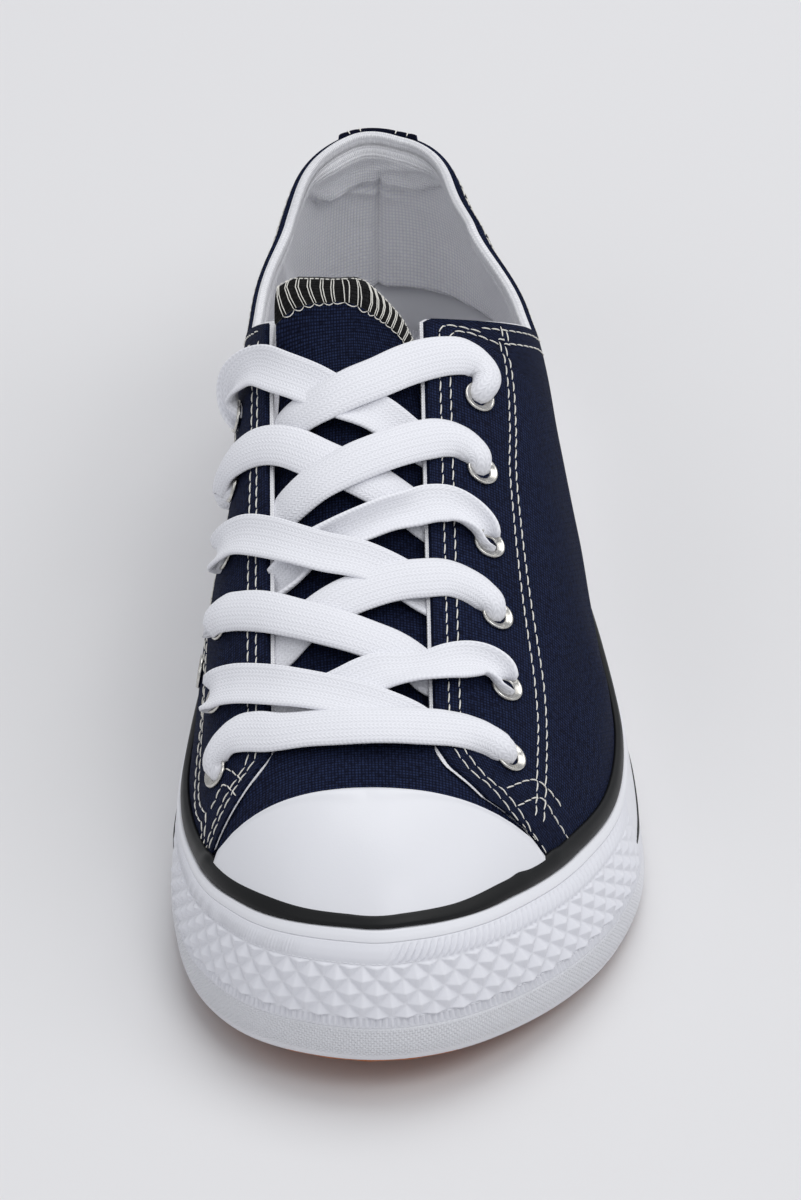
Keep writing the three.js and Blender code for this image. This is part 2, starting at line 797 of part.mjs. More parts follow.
// A lace that lies over the facings from one place on plan to another, lifted over the skin by the
// heights in lifts, which are read evenly along it.
function laceRun(from, to, lifts) {
  const steps = 8;
  const centres = [];
  for (let k = 0; k <= steps; k += 1) {
    const t = k / steps;
    const along = THREE.MathUtils.lerp(from.along, to.along, t);
    const across = THREE.MathUtils.lerp(from.across, to.across, t);
    const slot = Math.min(t * (lifts.length - 1), lifts.length - 1.001);
    const i = Math.floor(slot);
    const lift = THREE.MathUtils.lerp(lifts[i], lifts[i + 1], slot - i);
    centres.push({ along, across, middle: skinAt(along, across, lift) });
  }
  const frames = centres.map(({ along, across, middle }, k) => {
    const back = centres[Math.max(k - 1, 0)].middle;
    const next = centres[Math.min(k + 1, steps)].middle;
    const tangent = next.clone().sub(back).normalize();
    const width = skinNormal(along, across).cross(tangent).normalize();
    return { middle, width, normal: tangent.clone().cross(width).normalize() };
  });
  return strip(frames, LACE.width, LACE.thick);
}

// The place on plan beside an eyelet, where a lace that comes from the middle stops short of its ring.
function besideEyelet(row, side) {
  const { outerAlong, outer, innerAlong, inner } = EYELETS[row];
  const stop = EYELET.flange + CLEAR;
  const lateral = { along: outerAlong, across: outer - stop };
  const medial = { along: innerAlong, across: inner + stop };
  return side > 0 ? lateral : medial;
}

// The straight bar over the lowest eyelets.
function laceBar() {
  return laceRun(besideEyelet(0, -1), besideEyelet(0, 1), LACE.bar);
}

// The two runs that cross below a pair of eyelets. Each starts between the facings, by the row before.
function laceCross(row) {
  const start = THREE.MathUtils.lerp(EYELETS[row - 1].outerAlong, EYELETS[row].outerAlong, 0.34);
  const run = (side, lifts) =>
    laceRun(
      { along: start, across: facingEdge(start, -side) + side * LACE.apart },
      besideEyelet(row, side),
      lifts,
    );
  return run(1, LACE.under).add(run(-1, LACE.over));
}

// ---- Assembly ----
const FINISH = {
  canvas: { color: 0x0f1730, roughness: 0.92, metalness: 0 },
  white_rubber: { color: 0xe6e7ea, roughness: 0.5, metalness: 0 },
  black_rubber: { color: 0x131416, roughness: 0.5, metalness: 0 },
  gum_rubber: { color: 0x9a5b32, roughness: 0.6, metalness: 0 },
  filler: { color: 0xcfcac0, roughness: 0.9, metalness: 0 },
  lining: { color: 0xd9d9dd, roughness: 0.95, metalness: 0 },
  steel: { color: 0xb9b9b6, roughness: 0.25, metalness: 1 },
  lace: { color: 0xf2f3f6, roughness: 0.9, metalness: 0 },
};

function mesh(name, solid, finish) {
  const data = solid.getMesh();
  const points = new Float32Array(data.numVert * 3);
  for (let i = 0; i < data.numVert; i += 1) {
    points.set(data.vertProperties.subarray(i * data.numProp, i * data.numProp + 3), i * 3);
  }
  const geometry = new THREE.BufferGeometry()
    .setAttribute("position", new THREE.BufferAttribute(points, 3))
    .setIndex(new THREE.BufferAttribute(data.triVerts, 1));
  geometry.computeVertexNormals();
  const made = new THREE.Mesh(geometry, new THREE.MeshStandardMaterial(FINISH[finish]));
  made.name = name;
  return made;
}

function sneaker() {
  const group = new THREE.Group();
  const collar = collarCutter();
  const add = (name, solid, finish) => group.add(mesh(name, solid, finish));
  add("outsole", outsole(), "gum_rubber");
  add("midsole", midsole(), "filler");
  add("foxing", foxing(), "white_rubber");
  add("toe_bumper", toeBumper(), "white_rubber");
  add("foxing_tape", tape(), "black_rubber");
  add("upper", upper(collar), "canvas");
  add("toe_cap", toeCap(), "white_rubber");
  add("heel_stay", heelStay(collar), "canvas");
  add("tongue", tongue(), "canvas");
  add("insole", insole(), "lining");
  SEATS.forEach((seat) => add(seat.name, eyelet(seat), "steel"));
  add("lace_1", laceBar(), "lace");
  for (let row = 1; row < EYELETS.length; row += 1) add(`lace_${row + 1}`, laceCross(row), "lace");
  return group;
}

export default sneaker();
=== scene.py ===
"""The looks of the left canvas sneaker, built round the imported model.

All sizes are millimetres on the shoe's own last until a mesh is made. "along" is the distance from the
back of the heel, "across" the distance from the long axis, positive on the outer side. "walk" is the way
round the shoe from the back of the heel, positive down the outer side.
"""

import math

import bpy
import numpy as np
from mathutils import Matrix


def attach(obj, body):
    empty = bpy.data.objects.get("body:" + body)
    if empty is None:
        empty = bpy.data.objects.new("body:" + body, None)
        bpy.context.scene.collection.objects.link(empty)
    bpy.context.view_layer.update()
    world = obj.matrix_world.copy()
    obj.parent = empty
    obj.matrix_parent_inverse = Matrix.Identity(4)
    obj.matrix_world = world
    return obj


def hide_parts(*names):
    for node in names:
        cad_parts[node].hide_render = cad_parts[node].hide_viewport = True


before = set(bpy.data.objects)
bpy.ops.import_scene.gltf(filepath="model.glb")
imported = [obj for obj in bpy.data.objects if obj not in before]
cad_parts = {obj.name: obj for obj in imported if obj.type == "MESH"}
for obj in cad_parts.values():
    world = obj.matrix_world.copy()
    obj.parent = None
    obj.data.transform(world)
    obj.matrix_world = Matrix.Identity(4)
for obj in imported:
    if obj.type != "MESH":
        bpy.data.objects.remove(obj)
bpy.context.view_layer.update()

PI = math.pi
MM = 0.001
rng = np.random.default_rng(7)

# ---- Sizes, most of them shared with the CAD ----
LENGTH = 276
CENTRE_ACROSS = -0.32
HEEL_CENTRE = 36
TOE_CENTRE = 228
BALL = 195
TOE_SPRING = 9
FEATHER = 9
TAPE_HEIGHT = 3.4
TOP_THICK = 2.2
FOOT = 1.4
VAMP_SINK = 0.9
CAP_REAR = 233.6

# How far a walk goes round the heel's fan, down a side, and round the toe's fan.
HEEL_ARC, SIDE, TOE_ARC = 56, 192, 75
ROUND = HEEL_ARC + SIDE + TOE_ARC


class Table:
    """Rows with named columns, read along a smooth curve. The first column says where a row stands."""

    def __init__(self, names, rows):
        columns = np.array(rows, float).T
        self.places = columns[0]
        self.columns = dict(zip(names.split(), columns))

    def at(self, name, along):
        x, y = self.places, self.columns[name]
        width = np.diff(x)
        step = np.diff(y) / width
        slope = np.empty(len(x))
        slope[0], slope[-1] = step[0], step[-1]
        slope[1:-1] = (step[:-1] * width[1:] + step[1:] * width[:-1]) / (width[1:] + width[:-1])
        at = np.clip(along, x[0], x[-1])
        i = np.clip(np.searchsorted(x, at, side="right") - 1, 0, len(x) - 2)
        t = (at - x[i]) / width[i]
        ease = t * t * (3 - 2 * t)
        out = t * (1 - t) ** 2 * width[i] * slope[i]
        into = t * t * (t - 1) * width[i] * slope[i + 1]
        return y[i] * (1 - ease) + y[i + 1] * ease + out + into


OUTLINE = Table(
    "along across inset",
    [
        (0, 0, 3.5), (4, 15, 3.5), (14, 27, 3.5), (34, 34.8, 3.2), (70, 36.5, 3), (110, 39.5, 3),
        (145, 45, 3.2), (180, 50, 4.2), (208, 50.4, 6.8), (230, 44, 8.6), (248, 34, 8.6),
        (262, 21.7, 7.8), (272, 8, 7.2), (276, -7, 7), (273, -22, 7), (264, -36, 6.5), (246, -46.5, 5.2),
        (224, -50.6, 4), (200, -51.2, 3.2), (170, -47.8, 3), (140, -43, 3), (110, -40, 3), (70, -37, 3),
        (34, -34.6, 3.2), (14, -27, 3.5), (4, -15, 3.5),
    ],
)
LAST = Table(
    "along ridge top outer_round outer_full inner_round inner_full",
    [
        (0, -1.5, 86, 3.0, 3.4, 4.2, 3.7), (12, -1.5, 86, 2.0, 2.2, 3.4, 2.8),
        (36, -3, 86, 1.4, 2.0, 2.0, 2.6), (65, -5, 94, 1.5, 3.4, 2.6, 4.2),
        (90, -8, 96, 1.5, 4.6, 2.0, 5.5), (110, -10, 92, 1.4, 4.6, 2.0, 6.0),
        (130, -10.5, 83.5, 1.5, 4.0, 2.0, 5.5), (160, -11, 72, 1.7, 3.0, 2.0, 4.5),
        (190, -11, 61.5, 2.0, 2.3, 2.2, 3.2), (215, -10.5, 54.5, 2.2, 2.1, 2.3, 2.6),
        (228, -10, 51.8, 2.3, 2.1, 2.4, 2.4), (250, -9, 48.3, 2.4, 2.3, 2.4, 2.3),
        (276, -8, 45, 2.4, 2.4, 2.4, 2.4),
    ],
)
COLLAR = Table(
    "along height",
    [(0, 70), (8, 70), (20, 67), (42, 60.5), (64, 58), (79, 61.5), (95, 74), (109, 85.5), (122, 96)],
)
TAPE_TOP = Table(
    "along height",
    [(0, 28), (60, 26), (130, 25), (190, 25), (215, 28), (235, 32), (250, 35.5), (268, 38)],
)
FACING_FROM = 110  # where the collar ends and the facings begin
# The facings' edges on plan, outer and inner, then the quarters' slanting front edges.
FACING = np.array(
    [
        (110, 5.4, -29.6), (219, 5.2, -30.4), (225, 8.4, -37), (230.5, 16, -44), (232.8, 30, -56),
        (240, 70, -80),
    ],
    float,
)
# The eyelets from the toe end up, as [along, across]: the outer one, then the inner one.
EYELETS = [
    ((217, 20.8), (213, -41.3)), ((199, 20.5), (194, -40.9)), ((181, 19.0), (175, -39.8)),
    ((163, 17.7), (156, -38.4)), ((144.5, 16.7), (137, -36.8)), ((126, 16.5), (118.5, -35.6)),
]
VENTS = [(152, 37), (172, 37)]  # along, height


# ---- The last ----
def smooth(x, low, high):
    t = np.clip((x - low) / (high - low), 0, 1)
    return t * t * (3 - 2 * t)


def hump(x, middle, width):
    """A soft hump of height 1."""
    return np.exp(-(((x - middle) / width) ** 2))


def side_walk(along):
    """The walk of a place on the shoe's straight side."""
    return HEEL_ARC + along - HEEL_CENTRE


def run_of(line):
    """How far along a line each of its points lies."""
    return np.concatenate([[0], np.cumsum(np.linalg.norm(np.diff(line, axis=0), axis=1))])


def places_on(line, run, at):
    return np.stack([np.interp(at, run, line[:, k]) for k in range(3)], 1)


def halved(holds, count, steps):
    """The greatest angle up to a right angle for which the test still holds, for each rib."""
    low = np.zeros(count)
    high = low + PI / 2
    for _ in range(steps):
        middle = (low + high) / 2
        inside = holds(middle)
        low = np.where(inside, middle, low)
        high = np.where(inside, high, middle)
    return low


def spring(along):
    return TOE_SPRING * np.maximum(0, (along - BALL) / (LENGTH - BALL)) ** 1.8


def closed_curve(points, samples):
    """A closed centripetal curve through the points."""
    count = len(points)
    t = np.arange(samples) / samples * count
    i = t.astype(int)
    w = (t - i)[:, None]
    before, start, end, after = (points[(i + k) % count] for k in (-1, 0, 1, 2))

    def gap(a, b):
        return (((a - b) ** 2).sum(1) ** 0.25)[:, None]

    first, middle, last = gap(before, start), gap(start, end), gap(end, after)
    leave = ((start - before) / first - (end - before) / (first + middle)) * middle + end - start
    arrive = ((after - end) / last - (after - start) / (middle + last)) * middle + end - start
    return start + w * leave + w**2 * (3 * (end - start) - 2 * leave - arrive) + w**3 * (
        2 * (start - end) + leave + arrive
    )


def edge_lines():
    columns = OUTLINE.columns
    points = np.stack([columns["along"], columns["across"], columns["inset"]], 1)
    line = closed_curve(points, 420)
    sole = line[:, :2]
    run = np.roll(sole, -1, axis=0) - np.roll(sole, 1, axis=0)
    outward = np.stack([-run[:, 1], run[:, 0]], 1)
    outward /= np.linalg.norm(outward, axis=1)[:, None]
    return sole, sole - outward * line[:, 2:]


def reach(line, centre, way):
    """How far a closed line lies from each centre in its direction."""
    edge = np.roll(line, -1, axis=0) - line
    gap = line[None] - centre[:, None]
    turn = way[:, None, 0] * edge[None, :, 1] - way[:, None, 1] * edge[None, :, 0]
    turn = np.where(np.abs(turn) < 1e-9, 1e-9, turn)
    far = (gap[..., 0] * edge[None, :, 1] - gap[..., 1] * edge[None, :, 0]) / turn
    share = (gap[..., 0] * way[:, None, 1] - gap[..., 1] * way[:, None, 0]) / turn
    return np.where((share >= 0) & (share <= 1) & (far > 0), far, 0).max(1)


def rib_places(walk):
    """The centre and the direction of the rib at each walk."""
    side = np.where(walk >= 0, 1.0, -1.0)
    q = np.abs(walk)
    heel = np.clip(q / HEEL_ARC, 0, 1) * PI / 2
    toe = np.clip((q - HEEL_ARC - SIDE) / TOE_ARC, 0, 1) * PI / 2
    along = HEEL_CENTRE + np.clip(q - HEEL_ARC, 0, SIDE)
    centre = np.stack([along, LAST.at("ridge", along)], -1)
    way = np.stack([-np.cos(heel) + np.sin(toe), side * np.sin(heel) * np.cos(toe)], -1)
    return centre, way


EVENED_OVER = 18  # steps on each side


def evened(reaches):
    """The same distances round the shoe, evened out over a few steps on each side."""
    kernel = np.hanning(2 * EVENED_OVER + 1) / EVENED_OVER
    made = np.convolve(np.pad(reaches[:-1], EVENED_OVER, mode="wrap"), kernel, mode="valid")
    return np.append(made, made[0])


WALKS = np.linspace(-ROUND, ROUND, 1293)
SOLE_LINE, FEATHER_LINE = edge_lines()
SOLE_REACH = evened(reach(SOLE_LINE, *rib_places(WALKS)))
FEATHER_REACH = evened(reach(FEATHER_LINE, *rib_places(WALKS)))


class Ribs:
    def __init__(self, walk):
        self.walk = np.asarray(walk, float)
        self.centre, self.way = rib_places(self.walk)
        self.sole = np.interp(self.walk, WALKS, SOLE_REACH)
        self.feather = np.interp(self.walk, WALKS, FEATHER_REACH)
        at = self.along(self.feather)
        # The two sides' sections pass into each other at the back of the heel and at the toe.
        ahead = np.sign(self.walk) * (ROUND - np.abs(self.walk))
        outer = smooth(np.where(np.abs(self.walk) < ROUND / 2, self.walk, ahead), -9, 9)
        self.round = LAST.at("inner_round", at) * (1 - outer) + LAST.at("outer_round", at) * outer
        self.full = LAST.at("inner_full", at) * (1 - outer) + LAST.at("outer_full", at) * outer

    def column(self):
        """The same ribs, each as a row of its own."""
        tall = Ribs.__new__(Ribs)
        tall.walk = self.walk[:, None]
        tall.centre = self.centre[:, None]
        tall.way = self.way[:, None]
        for name in ("sole", "feather", "round", "full"):
            setattr(tall, name, getattr(self, name)[:, None])
        return tall

    def along(self, radius):
        return self.centre[..., 0] + self.way[..., 0] * radius

    def across(self, radius):
        return self.centre[..., 1] + self.way[..., 1] * radius

    def spot(self, radius, height):
        radius, height = np.broadcast_arrays(radius, height)
        return place(self.along(radius), self.across(radius), height)

    def skin(self, angle):
        """The last's skin: its radius and height at an angle from 0 at the feather edge to PI/2."""
        radius = self.feather * np.cos(angle) ** (2 / self.round)
        base = FEATHER + spring(self.along(radius))
        top = LAST.at("top", np.maximum(self.along(radius), HEEL_CENTRE))
        return radius, base + (top - base) * np.sin(angle) ** (2 / self.full)

    def angle_at(self, height):
        shape = np.broadcast(self.feather, height).shape
        return halved(lambda angle: self.skin(angle)[1] < height, shape, 24)

    def radius_at(self, height):
        return self.skin(self.angle_at(height))[0]


def place(along, across, height):
    along, across, height = np.broadcast_arrays(along, across, height)
    return np.stack([across - CENTRE_ACROSS, LENGTH / 2 - along, height], -1)


def walk_of(along, across):
    """The walk of the rib that a place on plan lies on, and its radius on it."""
    centre = np.clip(along, HEEL_CENTRE, TOE_CENTRE)
    over = across - LAST.at("ridge", centre)
    ahead = along - centre
    side = np.where(over >= 0, 1.0, -1.0)
    heel = np.arctan2(np.abs(over), np.maximum(-ahead, 0)) / (PI / 2) * HEEL_ARC
    toe = np.arctan2(np.maximum(ahead, 0), np.abs(over)) / (PI / 2) * TOE_ARC
    walk = np.where(ahead < 0, heel, side_walk(centre) + toe)
    return side * walk, np.hypot(over, ahead)


def skin_plain(along, across):
    walk, radius = walk_of(along, across)
    ribs = Ribs(walk)
    share = np.minimum(radius / ribs.feather, 0.9999)
    base = FEATHER + spring(along)
    top = LAST.at("top", np.maximum(along, HEEL_CENTRE))
    return place(along, across, base + (top - base) * (1 - share**ribs.round) ** (1 / ribs.full))


def unit(v):
    return v / np.maximum(np.linalg.norm(v, axis=-1, keepdims=True), 1e-9)


def skin_at(along, across, lift=0.0):
    """Points on the last by their place on plan, lifted along the skin's normal, and the normals."""
    along, across, lift = np.broadcast_arrays(*(np.asarray(v, float) for v in (along, across, lift)))
    point = skin_plain(along, across)
    step = 1.0
    forward = skin_plain(along - step, across) - skin_plain(along + step, across)
    sideways = skin_plain(along, across + step) - skin_plain(along, across - step)
    normal = unit(np.cross(sideways, forward))
    return point + normal * lift[..., None], normal


# ---- Meshes ----
def new_object(name, points, faces, materials, face_materials=None, data=None, smooth_shade=True):
    """A mesh from points in millimetres. data holds one vector per point for each named attribute."""
    points = np.asarray(points, float).reshape(-1, 3) * MM
    faces = np.asarray(faces, int)
    mesh = bpy.data.meshes.new(name)
    mesh.vertices.add(len(points))
    mesh.vertices.foreach_set("co", points.ravel())
    sides = faces.shape[1]
    mesh.loops.add(faces.size)
    mesh.loops.foreach_set("vertex_index", faces.ravel())
    mesh.polygons.add(len(faces))
    mesh.polygons.foreach_set("loop_start", np.arange(len(faces)) * sides)
    if face_materials is not None:
        mesh.polygons.foreach_set("material_index", np.asarray(face_materials, int))
    mesh.polygons.foreach_set("use_smooth", np.full(len(faces), smooth_shade))
    mesh.update(calc_edges=True)
    for key, values in (data or {}).items():
        flat = np.asarray(values, float).reshape(len(points), -1)
        vectors = np.zeros((len(points), 3))
        vectors[:, : flat.shape[1]] = flat
        layer = mesh.attributes.new(key, "FLOAT_VECTOR", "POINT")
        layer.data.foreach_set("vector", vectors.ravel())
    mesh.validate()
    made = bpy.data.objects.new(name, mesh)
    bpy.context.scene.collection.objects.link(made)
    for material in materials:
        mesh.materials.append(material)
    return made


def grid_faces(columns, rows, round_columns=False, round_rows=False):
    """Quads of a grid whose points are numbered column by column."""
    i = np.arange(columns if round_columns else columns - 1)
    j = np.arange(rows if round_rows else rows - 1)
    a, b = np.meshgrid(i, j, indexing="ij")
    c, d = (a + 1) % columns, (b + 1) % rows
    return np.stack([a * rows + b, c * rows + b, c * rows + d, a * rows + d], -1).reshape(-1, 4)


def end_faces(rows, first):
    """Quads that close a loop of points, numbered from first, across its thin way."""
    last = rows - 1
    return [(first + i + 1, first + i, first + last - i, first + last - i - 1) for i in range(rows // 2 - 1)]


def turned_out(points, faces):
    """The faces of a closed solid, turned so that they all point out of it."""
    corners = points.reshape(-1, 3)[faces]
    corners = corners - corners.mean((0, 1))
    halves = [corners[:, [0, 1, 2]], corners[:, [0, 2, 3]]]
    volume = sum(np.einsum("ij,ij->", h[:, 0], np.cross(h[:, 1], h[:, 2])) for h in halves)
    return faces if volume > 0 else faces[:, ::-1]


def finish_piece(piece, nodes):
    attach(piece, "root")
    if nodes:
        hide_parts(*nodes)


def solid_strip(name, loops, materials, nodes=(), row_materials=None, round_trip=False, data=None):
    """A piece through loops of points, an array of columns by rows by 3, in place of CAD nodes."""
    columns, rows = loops.shape[:2]
    faces = grid_faces(columns, rows, round_trip, True)
    picks = None
    if row_materials is not None:
        picks = np.tile(row_materials, columns if round_trip else columns - 1)
    if not round_trip:
        near = np.array(end_faces(rows, 0))[:, ::-1]
        far = np.array(end_faces(rows, (columns - 1) * rows))
        faces = np.concatenate([faces, near, far])
        if picks is not None:
            picks = np.concatenate([picks, np.zeros(len(near) + len(far), int)])
    finish_piece(new_object(name, loops, turned_out(loops, faces), materials, picks, data), nodes)


def grid_normals(points):
    """Normals of a grid of columns by rows that points outward."""
    along = np.gradient(points, axis=0)
    up = np.gradient(points, axis=1)
    return unit(np.cross(along, up))


def resample(line, count):
    """The same line with evenly spaced points, and its length."""
    run = run_of(line)
    return places_on(line, run, np.linspace(0, run[-1], count)), run[-1]


def layered(top, under):
    """Loops that run over a sheet's top and back along its underside."""
    return np.concatenate([top, under[:, ::-1]], 1)


# ---- Materials ----
class Nodes:
    """A short way to write shader nodes."""

    def __init__(self, name):
        self.material = bpy.data.materials.new(name)
        self.material.use_nodes = True
        self.tree = self.material.node_tree
        self.shader = self.tree.nodes["Principled BSDF"]

    def add(self, kind, **settings):
        node = self.tree.nodes.new(kind)
        for key, value in settings.items():
            setattr(node, key, value)
        return node

    def put(self, socket, value):
        if isinstance(value, bpy.types.NodeSocket):
            self.tree.links.new(value, socket)
        else:
            socket.default_value = value

    def math(self, operation, *values):
        node = self.add("ShaderNodeMath", operation=operation)
        for k, value in enumerate(values):
            self.put(node.inputs[k], value)
        return node.outputs[0]

    def product(self, *values):
        return self.math("MULTIPLY", *values)

    def sum(self, *values):
        return self.math("ADD", *values)

    def wave(self, value, pitch):
        """A sine that comes back to nought once in every pitch."""
        return self.math("SINE", self.product(value, PI / pitch))

    def ridges(self, value, pitch):
        return self.math("ABSOLUTE", self.wave(value, pitch))

    def mapped(self, value, low, high, to_low, to_high):
        node = self.add("ShaderNodeMapRange")
        for k, v in enumerate((value, low, high, to_low, to_high)):
            self.put(node.inputs[k], v)
        return node.outputs[0]

    def mix(self, factor, dark, light):
        node = self.add("ShaderNodeMix", data_type="RGBA")
        self.put(node.inputs[0], factor)
        self.put(node.inputs[6], dark if isinstance(dark, bpy.types.NodeSocket) else (*dark, 1))
        self.put(node.inputs[7], light if isinstance(light, bpy.types.NodeSocket) else (*light, 1))
        return node.outputs[2]

    def attribute(self, name):
        node = self.add("ShaderNodeAttribute", attribute_name=name)
        split = self.add("ShaderNodeSeparateXYZ")
        self.put(split.inputs[0], node.outputs["Vector"])
        return split.outputs

    def place(self):
        return self.add("ShaderNodeTexCoord").outputs["Object"]

    def joined(self, x, y):
        node = self.add("ShaderNodeCombineXYZ")
        self.put(node.inputs[0], x)
        self.put(node.inputs[1], y)
        return node.outputs[0]

    def noise(self, vector, scale, detail=3.0, rough=0.6):
        node = self.add("ShaderNodeTexNoise")
        self.put(node.inputs["Vector"], vector)
        node.inputs["Scale"].default_value = scale
        node.inputs["Detail"].default_value = detail
        node.inputs["Roughness"].default_value = rough
        return node.outputs[0]

    def bump(self, height, distance, strength=1.0, under=None):
        node = self.add("ShaderNodeBump")
        node.inputs["Strength"].default_value = strength
        node.inputs["Distance"].default_value = distance
        self.put(node.inputs["Height"], height)
        if under is not None:
            self.put(node.inputs["Normal"], under)
        return node.outputs[0]

    def finish(self, colour, rough, normal=None, **fixed):
        self.put(self.shader.inputs["Base Color"], colour)
        self.put(self.shader.inputs["Roughness"], rough)
        if normal is not None:
            self.put(self.shader.inputs["Normal"], normal)
        for key, value in fixed.items():
            self.shader.inputs[key.replace("_", " ")].default_value = value
        return self.material


def woven(name, dark, light, pitch, depth, sheen, rough=0.9, seams=False, worn=0.5):
    """Plain weave on the "weave" attribute, in millimetres along and down the panel."""
    n = Nodes(name)
    across, down, _ = n.attribute("weave")
    warp = n.wave(across, pitch)
    weft = n.wave(down, pitch)
    over = n.math("ABSOLUTE", warp)
    under = n.math("ABSOLUTE", weft)
    turn = n.math("GREATER_THAN", n.product(warp, weft), 0.0)
    chosen = n.add("ShaderNodeMix", data_type="FLOAT")
    n.put(chosen.inputs[0], turn)
    n.put(chosen.inputs[2], n.product(over, n.math("POWER", under, 0.5)))
    n.put(chosen.inputs[3], n.product(under, n.math("POWER", over, 0.5)))
    height = chosen.outputs[0]
    where = n.joined(across, down)
    slub = n.noise(where, 0.9, 2.0, 0.7)
    cloudy = n.noise(where, 0.06, 4.0)
    # Painted shade: the colour is lighter on the threads' crowns and darker in the hollows between them,
    # with the slub's random tone mixed in.
    shade = n.product(n.math("POWER", height, 1.6), n.mapped(slub, 0.35, 0.65, 0.15, 1.7))
    cloth = n.mix(shade, dark, light)
    faded = tuple(min(1, c * 1.7 + 0.004) for c in light)
    colour = n.mix(n.product(n.mapped(cloudy, 0.45, 0.75, 0, worn), height), cloth, faded)
    normal = n.bump(n.sum(height, n.product(slub, 0.5)), depth * MM, 0.9)
    if seams:
        gap, _, _ = n.attribute("seam")
        trough = n.mapped(gap, 0.2, 1.6, 0, 1)
        normal = n.bump(trough, 0.35 * MM, 0.8, normal)
    return n.finish(colour, rough, normal, Sheen_Weight=sheen, Sheen_Roughness=0.5, Specular_IOR_Level=0.12)


KNURL = 2.3  # the fine diamonds' pitch under the toe guard


def rubber(name, colour, stain, rough, fine=0.0, gloss=0.4, dirt=0.35, knurled=False):
    """Moulded rubber. A knurled one carries fine diamonds where its "mould" attribute says so."""
    n = Nodes(name)
    where = n.place()
    cloudy = n.noise(where, 45, 4.0)
    spots = n.noise(where, 420, 3.0, 0.7)
    marks = n.product(n.mapped(cloudy, 0.5, 0.78, 0, dirt), n.mapped(spots, 0.4, 0.65, 0.2, 1))
    shade = n.mix(marks, colour, stain)
    grain = n.noise(where, 2600, 2.0)
    normal = n.bump(n.sum(grain, n.product(cloudy, 2.0)), 0.00004 + fine, 0.5)
    roughness = n.mapped(cloudy, 0.3, 0.7, rough - 0.06, rough + 0.08)
    if knurled:
        run, up, mask = n.attribute("mould")
        one = n.wave(n.sum(run, up), KNURL / 2)
        two = n.wave(n.math("SUBTRACT", run, up), KNURL / 2)
        diamonds = n.product(n.math("ABSOLUTE", n.product(one, two)), mask)
        normal = n.bump(diamonds, 0.3 * MM, 0.9, normal)
    return n.finish(shade, roughness, normal, Specular_IOR_Level=gloss)


def tape_cloth(name, colour, rib):
    """Flat woven lace: fine lengthwise ribs with slanting picks between them."""
    n = Nodes(name)
    run, side, _ = n.attribute("weave")
    ribs = n.ridges(side, rib)
    lean = n.ridges(side, 2 * rib)
    picks = n.wave(n.sum(run, lean), 0.45)
    height = n.sum(n.product(ribs, 0.6), n.product(picks, 0.4))
    fluff = n.noise(n.place(), 900, 3.0, 0.7)
    # Painted shade: the grooves between the ribs and the picks are coloured darker than the crowns.
    dark = tuple(c * 0.86 for c in colour)
    shade = n.mix(n.mapped(height, -0.2, 0.9, 0, 1), dark, colour)
    normal = n.bump(n.sum(height, n.product(fluff, 0.8)), 0.1 * MM, 0.7)
    return n.finish(shade, 0.85, normal, Sheen_Weight=0.15, Sheen_Roughness=0.5, Specular_IOR_Level=0.2)


def thread(name, colour):
    n = Nodes(name)
    twist = n.noise(n.place(), 1800, 2.0)
    shade = n.mix(n.mapped(twist, 0.35, 0.65, 0, 1), tuple(c * 0.8 for c in colour), colour)
    return n.finish(shade, 0.7, n.bump(twist, 0.06 * MM, 0.5), Sheen_Weight=0.15)


def nickel(name):
    n = Nodes(name)
    where = n.place()
    marks = n.noise(where, 700, 3.0)
    shade = n.mix(n.mapped(marks, 0.4, 0.7, 0, 1), (0.62, 0.61, 0.58), (0.5, 0.48, 0.44))
    roughness = n.mapped(marks, 0.35, 0.7, 0.16, 0.34)
    return n.finish(shade, roughness, n.bump(marks, 0.02 * MM, 0.3), Metallic=1.0)


KNIT = 0.95  # from one pit of the lining's knit to the next


def mesh_lining(name):
    """Soft pale knit with rows of small pits, with painted shade: darker in the pits and in broad cloudy
    patches.
    """
    n = Nodes(name)
    across, down, _ = n.attribute("weave")
    pit = n.product(n.ridges(across, KNIT), n.ridges(down, KNIT))
    speck = n.noise(n.joined(across, down), 1.6, 3.0, 0.8)
    cloudy = n.noise(n.joined(across, down), 0.05, 3.0)
    height = n.sum(pit, n.product(speck, 0.9))
    # Painted shade: the pits are coloured darker; the specks add random tone.
    base = n.mix(n.mapped(height, 0.3, 1.2, 0, 1), (0.78, 0.78, 0.85), (1.0, 1.0, 1.0))
    # Painted shade: broad cloudy patches are coloured darker, standing in for the shade of the padded
    # lining's folds.
    shade = n.mix(n.mapped(cloudy, 0.4, 0.7, 0, 0.3), base, (0.78, 0.78, 0.82))
    return n.finish(shade, 0.95, n.bump(height, 0.2 * MM, 0.8), Sheen_Weight=0.3, Specular_IOR_Level=0.2)


NAVY_DARK = (0.002, 0.003, 0.012)
NAVY_LIGHT = (0.0145, 0.0235, 0.066)
WHITE = (0.78, 0.785, 0.82)
CREAM = (0.88, 0.86, 0.79)
canvas = woven("navy_canvas", NAVY_DARK, NAVY_LIGHT, 0.72, 0.2, 0.0, seams=True, worn=0.2)
tongue_canvas = woven("tongue_canvas", NAVY_DARK, NAVY_LIGHT, 0.72, 0.2, 0.0, worn=0.2)
lining = mesh_lining("lining_knit")
edge_lining = woven("lining_edge", (0.8, 0.8, 0.83), (0.94, 0.94, 0.96), 0.7, 0.2, 0.0, 0.95, worn=0.1)
sock = woven("sock_cloth", (0.66, 0.66, 0.7), (0.88, 0.88, 0.92), 0.7, 0.15, 0.3, 0.95, worn=0.1)
binding = woven("black_binding", (0.002, 0.002, 0.002), (0.016, 0.016, 0.017), 0.5, 0.1, 0.15, worn=0.1)
